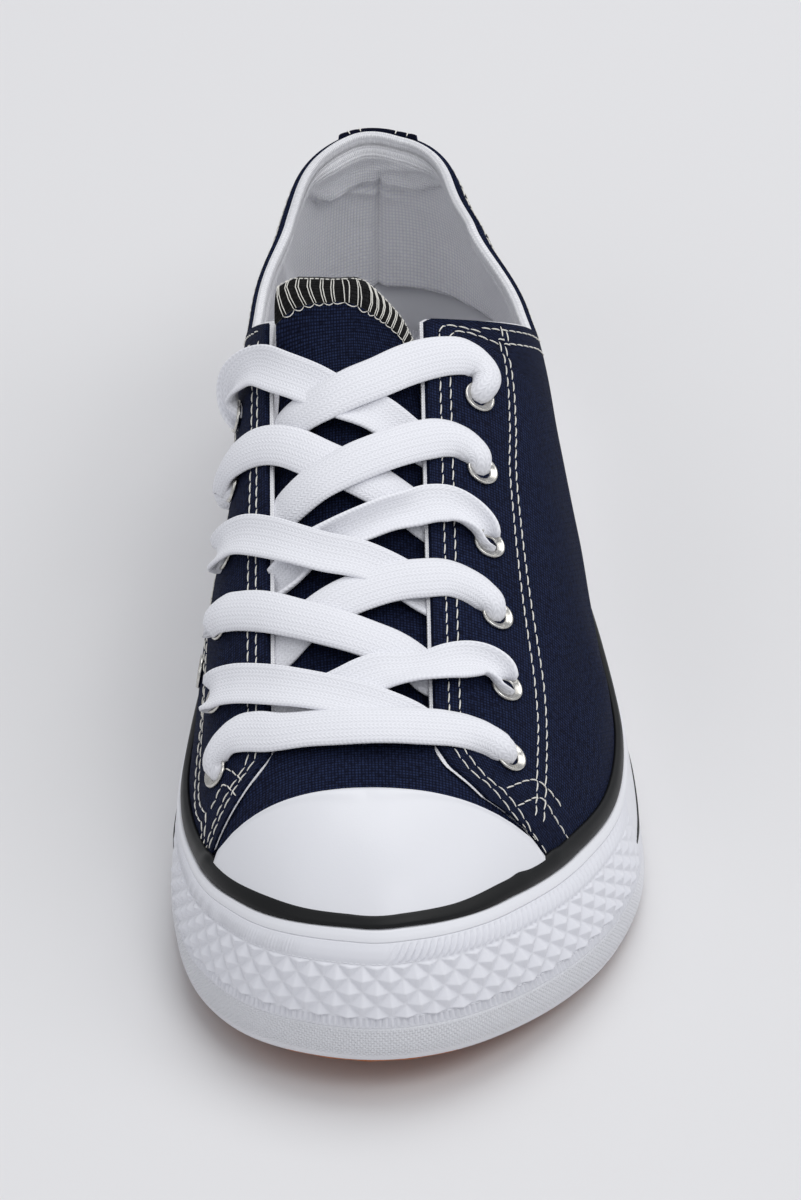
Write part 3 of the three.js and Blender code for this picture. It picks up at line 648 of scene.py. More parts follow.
foxing_rubber = rubber("foxing_rubber", WHITE, (0.62, 0.61, 0.6), 0.42, dirt=0.18, knurled=True)
white_rubber = rubber("white_rubber", WHITE, (0.62, 0.61, 0.6), 0.42, dirt=0.18)
guard_rubber = rubber("guard_rubber", (0.76, 0.765, 0.81), (0.6, 0.59, 0.6), 0.4, dirt=0.25)
cap_rubber = rubber("cap_rubber", WHITE, (0.7, 0.69, 0.68), 0.36, dirt=0.12)
black_rubber = rubber(
    "black_rubber", (0.004, 0.0045, 0.005), (0.014, 0.014, 0.014), 0.45, gloss=0.28, dirt=0.2
)
gum_rubber = rubber("gum_rubber", (0.42, 0.13, 0.035), (0.24, 0.075, 0.025), 0.5, dirt=0.5)
filler = rubber("sponge_filler", (0.6, 0.57, 0.5), (0.45, 0.42, 0.36), 0.85, fine=0.0002)
lace_cloth = tape_cloth("white_lace", (0.88, 0.885, 0.93), 0.9)
cream_thread = thread("cream_thread", CREAM)
bright_nickel = nickel("bright_nickel")


# ---- Creases ----
# Soft troughs and ridges, listed one by one: from one place on the skin to another, as [along, across], with
# the depth (a ridge is above 0) and the half width.
CREASES = [
    ((176, 36, 40), (206, 30, 40), -0.7, 5), ((168, 41, 32), (196, 40, 32), 0.5, 5),
    ((128, 30, 52), (160, 38, 34), -0.6, 7), ((108, 28, 60), (134, 36, 38), 0.5, 7),
    ((76, 27, 52), (104, 34, 34), -0.5, 7), ((46, 27, 50), (70, 33, 32), 0.5, 8),
    ((176, -45, 38), (206, -45, 34), -0.7, 5), ((150, -41, 50), (176, -44, 34), 0.5, 6),
    ((118, -36, 62), (146, -41, 40), -0.6, 7), ((74, -32, 52), (104, -37, 34), -0.5, 7),
    ((46, -30, 50), (70, -34, 34), 0.5, 8), ((8, -12, 56), (12, 18, 50), -0.5, 6),
    ((8, -10, 42), (11, 16, 38), 0.4, 5),
]


def crease_lift(points):
    lift = np.zeros(points.shape[:-1])
    for start, end, depth, width in CREASES:
        a = place(*start)
        b = place(*end)
        run = b - a
        t = np.clip(((points - a) @ run) / (run @ run), -0.35, 1.35)
        gap = np.linalg.norm(points - a - t[..., None] * run, axis=-1)
        fade = smooth(t, -0.35, 0.15) * (1 - smooth(t, 0.85, 1.35))
        lift += depth * fade * hump(gap, 0, width)
    # Between the eyelets the facings rise a little, where the lace pulls beside them.
    for pair in EYELETS:
        for along, across in pair:
            seat = skin_plain(np.array(along - 9.0), np.array(float(across)))
            gap = np.linalg.norm(points - seat, axis=-1)
            lift += 0.35 * hump(gap, 0, 5)
    return lift


# ---- Quarters ----
def facing_edge(along, side):
    line = FACING[:, 1 if side > 0 else 2]
    slope = (line[1] - line[0]) / (FACING[1, 0] - FACING[0, 0])
    return np.interp(along, FACING[:, 0], line) + np.minimum(along - FACING[0, 0], 0) * slope


COLLAR_TO = 122  # the collar's cut reaches this far forward, and the throat's this far back
THROAT_FROM = 90
UNCUT = -50


def cut_depth(along, across, height):
    """Above 0 where the collar or the throat takes the upper away."""
    collar = np.where(along <= COLLAR_TO, height - COLLAR.at("height", along), UNCUT)
    gap = np.minimum(facing_edge(along, 1) - across, across - facing_edge(along, -1))
    return np.maximum(collar, np.where(along > THROAT_FROM, gap, UNCUT))


def quarter_top(ribs):
    """The angle at which each rib of the quarters meets its top edge."""
    angles = np.linspace(0.02, PI / 2, 900)
    tall = ribs.column()
    radius, height = tall.skin(angles[None])
    depth = cut_depth(tall.along(radius), tall.across(radius), height)
    first = np.argmax(depth > 0, axis=1)
    pick = np.arange(len(first))
    low = depth[pick, first - 1]
    high = depth[pick, first]
    return angles[first - 1] + (angles[1] - angles[0]) * low / (low - high)


def tape_top(ribs):
    return TAPE_TOP.at("height", ribs.along(ribs.feather))


QUARTER_END = (253.55, 250.25)  # how far the quarters walk on the outer and the inner side


def panel(ribs, low, high, rows):
    """A grid over the last between two angles, its rows evenly spaced, and each column's length."""
    share = np.linspace(0, 1, 120)
    tall = ribs.column()
    angles = low[:, None] + (high - low)[:, None] * share[None]
    points = tall.spot(*tall.skin(angles))
    made = [resample(line, rows) for line in points]
    return np.array([m[0] for m in made]), np.array([m[1] for m in made])


FACING_WALK = side_walk(FACING_FROM)


class Quarters:
    """The outer skin of the quarters as a grid, which the stitches and the laces are laid on."""

    rows = 72

    def __init__(self):
        outer = np.concatenate([np.arange(0, 246, 1.1), np.linspace(246, QUARTER_END[0], 36)])
        inner = -np.concatenate([np.arange(1.1, 243, 1.1), np.linspace(243, QUARTER_END[1], 24)])
        self.walk = np.concatenate([outer[::-1], inner])
        ribs = Ribs(self.walk)
        top = quarter_top(ribs)
        foot = ribs.angle_at(tape_top(ribs) - 3)
        foot = np.clip(foot, 0, np.maximum(top - 0.01, 0))
        self.facing = smooth(np.abs(self.walk), FACING_WALK - 6, FACING_WALK + 3)
        plain, self.length = panel(ribs, foot, top, self.rows)
        self.normal = grid_normals(plain)
        fade = np.linspace(1, 0, self.rows)[None] * self.length[:, None]
        lift = crease_lift(plain) * smooth(fade, 0, 9)
        self.points = plain + self.normal * lift[..., None]
        self.normal = grid_normals(self.points)
        self.down = np.linspace(1, 0, self.rows)[None] * self.length[:, None]
        edge = self.points[:, -1]
        run = unit(np.gradient(edge, axis=0))
        rise = unit(self.points[:, -1] - self.points[:, -4])
        lean = np.linalg.norm(np.cross(run, rise), axis=1)
        kernel = np.ones(5) / 5
        self.slant = np.convolve(np.pad(lean, 2, mode="edge"), kernel, mode="valid").clip(0.45, 1)

    def at(self, walk, depth, lift=0.0, square=True):
        """Points and normals at a walk and a distance below the top edge."""
        walk = np.asarray(walk, float)
        depth, lift = (np.broadcast_to(np.asarray(v, float), walk.shape) for v in (depth, lift))
        column = np.interp(-walk, -self.walk, np.arange(len(self.walk)))
        i = np.minimum(column.astype(int), len(self.walk) - 2)
        w = column - i
        slant = self.slant[i] * (1 - w) + self.slant[i + 1] * w if square else 1.0
        far = depth / slant
        out = []
        for grid in (self.points, self.normal):
            picks = []
            for k in (0, 1):
                row = (1 - far / self.length[i + k]).clip(0, 1) * (self.rows - 1)
                j = np.minimum(row.astype(int), self.rows - 2)
                v = (row - j)[:, None]
                picks.append(grid[i + k, j] * (1 - v) + grid[i + k, j + 1] * v)
            out.append(picks[0] * (1 - w)[:, None] + picks[1] * w[:, None])
        normal = unit(out[1])
        return out[0] + normal * lift[:, None], normal

    def depth_of(self, along, across):
        """The walk and the distance below the top edge of a place on plan, on a side."""
        walk = side_walk(along) if across > 0 else -side_walk(along)
        i = int(round(float(np.interp(-walk, -self.walk, np.arange(len(self.walk))))))
        line = self.points[i, :, 0] + CENTRE_ACROSS
        order = np.argsort(line)
        return walk, float(np.interp(across, line[order], self.down[i][order]))


quarters = Quarters()


FACING_ROWS = {1: (3.0, 5.4), -1: (2.8, 5.0)}
COLLAR_ROWS = (2.0, 5.0)
SEAM_SHIFTS = (-0.9, 0.9)  # the two rows of the eyelet stay's rear seam
NO_SEAM = 9.0  # far enough from a seam for the canvas to lie flat


def seam_rows():
    """Every row along the edges of the quarters: the walks and the depths below the edge."""
    rows = []
    for side, end in ((1, QUARTER_END[0]), (-1, QUARTER_END[1])):
        for depth in FACING_ROWS[side]:
            walk = np.linspace(FACING_WALK - 2, end - 0.15 - depth * 0.05, 190)
            rows.append((side * walk, np.full(190, depth)))
        for depth in COLLAR_ROWS:
            walk = np.linspace(0.5, FACING_WALK - 1.5 - depth * 0.4, 170)
            rows.append((side * walk, np.full(170, depth)))
    return rows


# The eyelet stay's rear seam: on plan on the outer side, by its depth below the edge on the inner side.
STAY_OUTER = Table(
    "along across",
    [
        (98, 21.8), (105.8, 22.6), (117, 23.7), (128, 23.9), (140, 23.6), (151, 24.1), (162, 24.8),
        (173, 25.7), (183.5, 26.8), (194, 27.8), (205, 28.1), (216, 27.6), (224, 27.2), (229, 26.8),
    ],
)
STAY_INNER = Table(
    "along depth", [(88, 4), (100, 16), (120, 23), (143, 24), (187, 25), (216, 24), (227, 15)]
)


def stay_seam_row(side, shift):
    """One row of the eyelet stay's rear seam: from the collar down to the cap's corner."""
    if side > 0:
        along = np.linspace(99, 228, 130)
        across = STAY_OUTER.at("across", along)
        depth = np.array([quarters.depth_of(a, x)[1] for a, x in zip(along, across)])
    else:
        along = np.linspace(88, 227, 160)
        depth = STAY_INNER.at("depth", along)
    keep = depth > 1.2
    spread = shift * (1 + 0.45 * smooth(along[keep], 140, 200))
    return side * side_walk(along[keep]), depth[keep] + spread


# The rim of the quarters: rise along the skin and rise off it, from the canvas's fold to the lining.
FOLD = [(-0.5, 0.0), (-0.14, -0.1), (0.0, -0.42), (-0.1, -0.8)]
ROLL = [(0.35, -0.92), (0.85, -1.1), (1.05, -1.45), (0.85, -1.85), (0.3, -2.05), (-0.5, -2.1)]
LINING_DEPTH = 2.1
PADDED = 1.9  # how much thicker the rolled edge is round the collar
LINING_ROWS = 44


def heel_lining(walk, down):
    """How far the lining stands in from its plain place: the heel's pad and its folds."""
    heel = 1 - smooth(np.abs(walk + 2), 15, 30)
    edge = 7 + 6.5 * heel + 0.8 * np.sin(walk / 4.3) * heel
    pad = (0.9 + 1.8 * heel) * smooth(down, 0.5, 3) * (1 - smooth(down, edge - 0.3, edge + 0.8))
    fold = 1.5 * hump(down - 15.5 - 0.3 * (walk + 8), 0, 1.4) * hump(walk, -4, 12)
    fold += 0.9 * hump(down - 8 + 0.25 * walk, 0, 1.2) * hump(walk, 6, 9)
    seam = -1.7 * hump(walk, 0, 1.1) * smooth(down, 9, 14)
    side = 1.1 * hump(walk + 62 - down * 0.9, 0, 3.5) * smooth(down, 4, 16)
    other = 0.5 * hump(walk - 58 + down * 0.7, 0, 4) * smooth(down, 4, 16)
    return pad + fold + seam + side + other


def build_upper():
    rise = unit(quarters.points[:, -1] - quarters.points[:, -4])
    outward = quarters.normal[:, -1]
    edge = quarters.points[:, -1]

    # The rolled lining stands well above the collar and only a little beside the facings.
    front = smooth(np.abs(quarters.walk), 238, 245)
    proud = (1.5 - 0.5 * quarters.facing + 0.5 * front)[:, None]
    deep = (PADDED - (PADDED - 1) * quarters.facing - 0.75 * front)[:, None]

    def rim(profile):
        made = []
        for a, b in profile:
            height = a * proud if a > 0 else a
            inward = np.where(b < -0.9, -0.9 + 0.45 * front[:, None] + (b + 0.9) * deep, b)
            made.append(edge + rise * height + outward * inward)
        return np.stack(made, 1)

    body = quarters.points[:, :-1]
    share = np.linspace(1, 0, LINING_ROWS)[1:]
    row = share * (quarters.rows - 1)
    j = np.minimum(row.astype(int), quarters.rows - 2)
    v = (row - j)[None, :, None]
    inner = quarters.points[:, j] * (1 - v) + quarters.points[:, j + 1] * v
    inner_normal = quarters.normal[:, j] * (1 - v) + quarters.normal[:, j + 1] * v
    down = (1 - share)[None] * quarters.length[:, None]
    walk = np.broadcast_to(quarters.walk[:, None], down.shape)
    swell = (PADDED - 1) * 1.2 * (1 - quarters.facing)[:, None] * (1 - smooth(down, 1.5, 8))
    depth = LINING_DEPTH + swell + heel_lining(walk, down)
    inner = inner - inner_normal * depth[..., None]
    loops = np.concatenate([body, rim(FOLD), rim(ROLL), inner], 1)
    count = loops.shape[1]
    if count % 2:
        raise ValueError("the upper's loop needs an even number of rows")
    rows_body, rows_fold = body.shape[1], len(FOLD)
    picks = np.array([0] * (rows_body + rows_fold) + [1] * (len(ROLL) + 2) + [2] * (LINING_ROWS - 3))
    weave_down = np.concatenate(
        [
            quarters.down[:, :-1],
            np.tile(-np.arange(rows_fold + len(ROLL)) * 0.45, (len(quarters.walk), 1)),
            down,
        ],
        1,
    )
    weave = np.stack([np.broadcast_to(quarters.walk[:, None], weave_down.shape), weave_down], -1)
    seam = np.full(weave_down.shape, NO_SEAM)
    nearest = weave_down[:, : rows_body] * quarters.slant[:, None]
    facing = np.abs(quarters.walk) > FACING_WALK - 2
    groups = [(~facing, COLLAR_ROWS)]
    groups += [(facing & (quarters.walk * side > 0), FACING_ROWS[side]) for side in (1, -1)]
    for used, depths in groups:
        for depth_line in depths:
            gap = np.where(used[:, None], np.abs(nearest - depth_line), NO_SEAM)
            seam[:, :rows_body] = np.minimum(seam[:, :rows_body], gap)
    for side in (1, -1):
        for shift in SEAM_SHIFTS:
            seam_walk, seam_depth = stay_seam_row(side, shift)
            order = np.argsort(seam_walk)
            line = np.interp(quarters.walk, seam_walk[order], seam_depth[order], left=1e3, right=1e3)
            gap = np.abs(weave_down[:, :rows_body] - line[:, None])
            seam[:, :rows_body] = np.minimum(seam[:, :rows_body], gap)
    data = {"weave": weave, "seam": seam[..., None]}
    solid_strip("upper_quarters", loops, [canvas, edge_lining, lining], ["upper"], picks, data=data)


def cap_ribs(spacing):
    """Ribs round the toe fan, from the outer corner to the inner one."""
    outer = np.arange(251.0, ROUND, spacing)
    inner = -np.arange(ROUND, 250.6, -spacing)
    return np.concatenate([outer, inner])


def angle_at_along(ribs, along):
    """The angle at which each rib of the toe fan comes back to a distance along."""
    return halved(lambda angle: ribs.along(ribs.skin(angle)[0]) > along, len(ribs.walk), 26)


VAMP_MIDDLE = -9.5
VAMP_HALVES = (44, 38)  # how far it reaches to the outer and to the inner side


def build_vamp():
    """The strip of vamp between the facings and the cap, and its hidden edges."""
    along = np.linspace(213, 237, 34)
    share = np.linspace(-1, 1, 90)
    a, s = np.meshgrid(along, share, indexing="ij")
    across = VAMP_MIDDLE + s * np.where(s > 0, *VAMP_HALVES)
    tuck = 2.2 * (1 - smooth(a, 213, 219))
    top, normal = skin_at(a, across, -VAMP_SINK - tuck)
    buckle = 0.35 * hump(a, 227, 2.2) * np.cos(s * 5.5)
    top = top + normal * buckle[..., None]
    under = top - normal * 1.5
    loops = layered(top, under)
    weave = np.stack([across, a], -1)
    weave = layered(weave, weave)
    solid_strip("vamp", loops, [tongue_canvas], data={"weave": weave})


def build_cap():
    ribs = Ribs(cap_ribs(1.0))
    high = angle_at_along(ribs, CAP_REAR)
    foot = ribs.angle_at(tape_top(ribs) - 2.5)
    foot = np.clip(foot, 0, np.maximum(high - 0.004, 0))
    rows = 44
    plain, length = panel(ribs, foot, high, rows)
    normal = -grid_normals(plain)
    walk = np.abs(ribs.walk)
    down = np.linspace(1, 0, rows)[None] * length[:, None]
    rounding = -0.55 * hump(down, 0, 0.55)
    swell = 0.3 * hump(down, 2.2, 1.6)
    lift = 0.85 + rounding + swell * smooth(ROUND - walk, -5, 20)[:, None]
    top = plain + normal * lift[..., None]
    under = plain + normal * -0.5
    solid_strip("toe_cap_dome", layered(top, under), [cap_rubber], ["toe_cap"])


# ---- Rubber round the shoe ----
def round_walk(fine, coarse, fine_from):
    """Walks once round the shoe, closer together at the toe."""
    slow = np.arange(0, fine_from, coarse)
    quick = np.arange(fine_from, ROUND, fine)
    half = np.concatenate([slow, quick])
    return np.concatenate([half, [ROUND], -half[:0:-1]])


def tape_foot(ribs):
    """The tape's lower edge. The tape narrows round the front of the toe."""
    return tape_top(ribs) - TAPE_HEIGHT + 1.15 * smooth(ribs.along(ribs.feather), 252, 270)


def side_bend(ribs):
    return smooth(ribs.along(ribs.sole), 188, 232)


def sidewall(ribs, share):
    """The rubber's outer face: radius and height at a share of the way from its foot to the tape."""
    foot = FOOT + spring(ribs.along(ribs.sole))
    top = tape_foot(ribs)
    height = foot + (top - foot) * share
    inner = ribs.radius_at(top) + TOP_THICK
    lean = 1.5 + 0.6 * side_bend(ribs)
    heel = 1.1 * np.maximum(0, 1 - share / 0.18) ** 2
    return ribs.sole - heel + (inner - ribs.sole) * share**lean, height


# The tape's section: the share of its height, and how far it stands off the last.
TAPE_PROFILE = [
    (0, -0.2), (0, 1.3), (0.12, 1.62), (0.4, 1.72), (0.75, 1.6), (0.93, 1.25), (1, 0.7), (1, 0.1),
]


def build_tape():
    walk = round_walk(1.2, 2.0, 215)
    ribs = Ribs(walk).column()
    top = tape_top(ribs)
    low = tape_foot(ribs) + 0.2
    q = np.abs(walk)[:, None]
    wander = 0.3 * np.sin(walk / 13.0 + 1.2) + 0.18 * np.sin(walk / 5.3)
    wander *= smooth(ROUND - np.abs(walk), 0, 30)
    kink = 0.5 * hump(q, 252, 3) + 0.35 * hump(walk, 268, 3)[:, None]
    top = top + wander[:, None] * 0.6 + kink
    low = low + wander[:, None] * 0.3
    points = []
    for share, proud in TAPE_PROFILE:
        height = low + (top - low) * share
        points.append(ribs.spot(ribs.radius_at(height) + proud + kink * 0.3, height)[:, 0])
    loops = np.stack(points, 1)
    solid_strip("foxing_tape_band", loops, [black_rubber], ["foxing_tape"], round_trip=True)


GUARD_FROM = 214  # where the toe guard starts on each side, as a walk


def guard_share(walk):
    return smooth(np.abs(walk), GUARD_FROM, GUARD_FROM + 34)


def build_foxing():
    walk = round_walk(1.0, 1.5, 200)
    ribs = Ribs(walk).column()
    guard = guard_share(walk)[:, None]
    low, high = GUARD
    parts = ((0, low - 0.005, 14), (low + 0.005, high - 0.005, 18), (high + 0.005, 1, 8))
    shares = np.concatenate([np.linspace(*part) for part in parts])
    radius, height = sidewall(ribs, shares[None])
    buried = ((shares > low) & (shares < high))[None] * guard * 1.4
    ripple = 0.12 * np.sin(walk / 21.0)[:, None] * np.sin(shares * 7)[None]
    lip = -0.45 * hump(1 - shares, 0, 0.02)[None]
    outer = ribs.spot(radius - buried + ripple + lip, height)
    top = height[:, -1:]
    floor = spring(ribs.along(ribs.feather))
    inner = [
        ribs.spot(ribs.radius_at(top) + 0.3, top - 0.1),
        ribs.spot(ribs.feather + 0.4, FEATHER + floor),
        ribs.spot(ribs.feather - 1.1, FEATHER - 0.35 + floor),
        ribs.spot(ribs.sole - 2.9, 4.8 + spring(ribs.along(ribs.sole - 2.9))),
        ribs.spot(ribs.sole - 2.9, height[:, :1]),
        ribs.spot(ribs.sole - 1.6, height[:, :1] - 0.25),
    ]
    loops = np.concatenate([outer] + inner, 1)
    run = run_of(outer[:, 0])
    mask = guard * (1 - smooth(shares, 0.3, 0.32))[None] * smooth(shares, 0.04, 0.09)[None]
    mould = np.zeros((*loops.shape[:2], 3))
    mould[:, : len(shares)] = np.stack(np.broadcast_arrays(run[:, None], height, mask), -1)
    data = {"mould": mould}
    solid_strip("foxing_band", loops, [foxing_rubber], ["foxing"], round_trip=True, data=data)


PYRAMID_WIDE = 6.2  # along the guard
PYRAMID_ROW = 0.094  # half a pyramid's height, as a share of the sidewall
PYRAMID_TALL = 1.35
ROLL_RIB = 1.9  # the slanting ribs on the roll, the close ones at its inner end, and the fine line's
CLOSE_RIB = 0.85
FINE_RIB = 1.32
# As shares of the sidewall's height: the pyramids' field, the whole guard, and the roll's middle.
FIELD = (0.42, 0.796)
GUARD = (0.33, 0.93)
ROLL_MIDDLE = 0.866


def guard_relief(run, share, fade):
    """The toe guard's moulding: a ribbed roll over rows of small pyramids over a fine ribbed line."""
    middle = (share - ROLL_MIDDLE) / 0.055
    roll = 0.5 * np.exp(-np.abs(middle) ** 3)
    slanted = 0.45 * np.cos(2 * PI * (run - 26 * (share - ROLL_MIDDLE)) / ROLL_RIB) * smooth(run, -2, 5)
    close = 0.22 * np.cos(2 * PI * run / CLOSE_RIB) * smooth(-run, 18, 26)
    rib = (slanted + close) * np.exp(-np.abs(middle) ** 6)
    up = (share - FIELD[0]) / PYRAMID_ROW
    u = run / PYRAMID_WIDE + up / 2
    v = run / PYRAMID_WIDE - up / 2
    pyramid = 1 - np.maximum(np.abs(2 * (u % 1) - 1), np.abs(2 * (v % 1) - 1))
    field = smooth(share, FIELD[0], FIELD[0] + 0.008) * (1 - smooth(share, FIELD[1] - 0.008, FIELD[1]))
    fine = 0.4 * np.cos(2 * PI * run / FINE_RIB)
    fine = fine * smooth(share, 0.335, 0.345) * (1 - smooth(share, 0.4, 0.41))
    return (roll + rib + PYRAMID_TALL * pyramid * field + fine) * fade


def build_guard():
    half = np.arange(GUARD_FROM, ROUND, 0.33)
    walk = np.concatenate([half, -half[::-1]])
    ribs = Ribs(walk).column()
    shares = np.linspace(GUARD[0] - 0.004, GUARD[1] + 0.004, 104)
    radius, height = sidewall(ribs, shares[None])
    middle = Ribs(walk)
    edge = middle.spot(middle.sole - 2, 20.0)
    run = run_of(edge)
    run = run[-1] / 2 - run
    fade = guard_share(walk)
    relief = guard_relief(run[:, None], shares[None], fade[:, None])
    outer = ribs.spot(radius + relief + 0.06 * fade[:, None] - 0.06, height)
    inner_shares = np.linspace(*GUARD[::-1], 16)
    radius_in, height_in = sidewall(ribs, inner_shares[None])
    inner = ribs.spot(radius_in - 0.15 - 1.1 * fade[:, None], height_in)
    loops = np.concatenate([outer, inner], 1)
    solid_strip("toe_guard", loops, [guard_rubber], ["toe_bumper"])


# The mould's parting line: above the pyramids on the inner side, below them on the outer side.
PARTING = [((-250, 0.803), (-322.5, 0.803)), ((322.5, 0.803), (310, 0.803)), ((312, 0.412), (250, 0.412))]


def build_parting_line():
    lines = []
    for (walk_a, share_a), (walk_b, share_b) in PARTING:
        count = int(abs(walk_b - walk_a) / 1.5)
        for k in range(count):
            t = (k + np.linspace(0.05, 0.8, 5)) / count
            walk = walk_a + (walk_b - walk_a) * t
            ribs = Ribs(walk)
            radius, height = sidewall(ribs, share_a + (share_b - share_a) * t)
            lines.append(ribs.spot(radius + 0.12, height))
    tubes("toe_guard_parting", lines, 0.13, white_rubber)


LINE_END = 226  # as a walk
LINE_SHARE = 0.52  # of the sidewall's height


def build_foxing_line():
    """The thin black line moulded on the foxing, from the toe guard's ends round the heel."""
    walk = np.linspace(-LINE_END, LINE_END, 460)
    ribs = Ribs(walk).column()
    fade = smooth(LINE_END - np.abs(walk), 0, 10)[:, None]
    shares = LINE_SHARE + np.array([-0.028, -0.02, 0.02, 0.028]) * (0.4 + 0.6 * fade)
    radius, height = sidewall(ribs, shares)
    proud = np.array([0.0, 0.28, 0.28, 0.0])[None]
    outer = ribs.spot(radius + proud * fade, height)
    inner = ribs.spot(radius - 0.4, height)
    solid_strip("foxing_pinstripe", layered(outer, inner), [black_rubber])


# ---- Threads ----
def tubes(name, lines, radius, material):
    """Short round threads with six sides, joined in one mesh. Each line is an array of points."""
    sides = 6
    points, faces, first = [], [], 0
    around = np.linspace(0, 2 * PI, sides, endpoint=False)
    for line in lines:
        count = len(line)
        tangent = unit(np.gradient(line, axis=0))
        pick = np.array([0.0, 0, 1]) if abs(tangent[0, 2]) < 0.8 else np.array([1.0, 0, 0])
        side = unit(np.cross(tangent, pick))
        other = np.cross(tangent, side)
        girth = radius * np.sqrt(np.clip(1 - np.linspace(-0.93, 0.93, count) ** 6, 0.05, 1))
        turned = side[:, None] * np.cos(around)[:, None] + other[:, None] * np.sin(around)[:, None]
        ring = turned * girth[:, None, None]
        points.append((line[:, None] + ring).reshape(-1, 3))
        faces.append(grid_faces(count, sides, False, True)[:, ::-1] + first)
        ends = [[first + k for k in (0, 1, 2, 3)], [first + k for k in (0, 3, 4, 5)]]
        last = first + (count - 1) * sides
        ends += [[last + k for k in (3, 2, 1, 0)], [last + k for k in (5, 4, 3, 0)]]
        faces.append(np.array(ends))
        first += count * sides
    piece = new_object(name, np.concatenate(points), np.concatenate(faces), [material])
    finish_piece(piece, [])


PITCH = 3.1  # from one stitch to the next
THREAD = 0.16  # the thread's radius
STITCH_GAP = 0.15  # between two stitches, as a share of the pitch
STITCH_LEAN = 0.1


def stitches(line, normal, pitch=PITCH):
    """Lockstitches along a line on a surface, as short arched threads."""
    run = run_of(line)
    made = []
    for start in np.arange(pitch * 0.3, run[-1] - pitch, pitch):
        at = start + np.linspace(0, 1, 5) * pitch * (1 - STITCH_GAP)
        spots = places_on(line, run, at)
        up = unit(places_on(normal, run, at))
        side = unit(np.cross(unit(spots[-1:] - spots[:1]), up))
        wave = np.array([-0.35, 0.55, 0.8, 0.55, -0.35])[:, None] * THREAD
        skew = np.linspace(-1, 1, 5)[:, None] * STITCH_LEAN
        made.append(spots + up * wave + side * skew)
    return made


# Arcs of stitches that cross the foot of the rear seam, as [along, across] on plan.
TACKS = [
    [(226, 19.5), (219.8, 25), (218.6, 28), (220, 33)],
    [(228.8, 21.8), (222.3, 27), (223.6, 30.5), (224.3, 33.6)],
]


def build_stitching():
    lines = []
    for walk, depth in seam_rows():
        lines += stitches(*quarters.at(walk, depth))
    for side in (1, -1):
        for shift in SEAM_SHIFTS:
            lines += stitches(*quarters.at(*stay_seam_row(side, shift), 0.0, False))
    for tack in TACKS:
        arc = Table("order along across", [(k, *spot) for k, spot in enumerate(tack)])
        order = np.linspace(0, len(tack) - 1, 24)
        along, across = arc.at("along", order), arc.at("across", order)
        for side, spots in ((1, across), (-1, -across * 0.55 - 25)):
            line, normal = skin_at(along - (0 if side > 0 else 4), spots, 0.05)
            lines += stitches(line, normal, PITCH * 0.85)
    tubes("upper_stitching", lines, THREAD, cream_thread)


# ---- Heel stay ----
STAY_HALF = 12.5
STAY_INSETS = (3.0, 6.8)  # its stitch rows, from each edge


def build_stay():
    walk = np.linspace(-STAY_HALF, STAY_HALF, 40)
    ribs = Ribs(walk)
    foot = ribs.angle_at(tape_top(ribs) - 1)
    top = ribs.angle_at(COLLAR.at("height", ribs.along(ribs.feather)) + 0.2)
    plain, length = panel(ribs, foot, top, 40)
    normal = -grid_normals(plain)
    down = np.linspace(1, 0, 40)[None] * length[:, None]
    side = STAY_HALF - np.abs(walk)[:, None]
    thick = 0.95 * np.sqrt(np.clip(side / 0.7, 0.05, 1)) * np.sqrt(np.clip(down / 0.6, 0.15, 1))
    groove = sum(-0.18 * hump(side, inset, 0.5) for inset in STAY_INSETS)
    lift = crease_lift(plain) * smooth(down, 0, 9)
    outer = plain + normal * (thick + groove + lift)[..., None]
    inner = plain + normal * (-0.4 + lift)[..., None]
    weave = np.stack(np.broadcast_arrays(walk[:, None], down), -1)
    weave = layered(weave, weave)
    data = {"weave": weave, "seam": np.full(weave.shape[:2], NO_SEAM)[..., None]}
    solid_strip("heel_stay_strip", layered(outer, inner), [canvas], ["heel_stay"], data=data)
    lines = []
    for place_side in (1, -1):
        for inset in STAY_INSETS:
            pick = np.interp(place_side * (STAY_HALF - inset), walk, np.arange(40))
            i = int(pick)
            w = pick - i
            line = outer[i] * (1 - w) + outer[i + 1] * w
            lines += stitches(line, normal[i])
            # The last stitch turns over the collar's edge.
            top_point, out = line[-1], normal[i, -1]
            steps = [(0.15, -1.8), (0.25, -0.6), (0.1, 0.1), (-0.5, 0.45), (-1.1, 0.4)]
            lines.append(np.array([top_point + out * o + np.array([0, 0, z]) for o, z in steps]))
    tubes("heel_stay_stitching", lines, THREAD, cream_thread)


# ---- Tongue ----
TONGUE_ROWS = Table(
    "order rise outer inner sink along",
    [
        (0, -0.3, 20, 21, 3.2, 229), (1, 0, 20.5, 21.5, 3.6, 222), (2, 0, 21, 22, 4.3, 208),
        (3, 0, 21, 22, 4.3, 194), (4, 0, 21, 22, 4.3, 180), (5, 0, 21, 22, 4.3, 166),
        (6, 0, 21, 22, 4.3, 152), (7, 0, 20, 21.5, 4.3, 138), (8, 0.2, 18, 19.5, 3.9, 127),
        (9, 1.0, 16.2, 18.8, 3.4, 121), (10, 3, 14.4, 19.0, 3.1, 117), (11, 6.5, 11.4, 19.2, 3.1, 112.5),
        (12, 9.6, 6.6, 18.6, 3.1, 109), (13, 11.4, 3.0, 14.6, 3.1, 107),
    ],
)
TONGUE_SEAT = 124


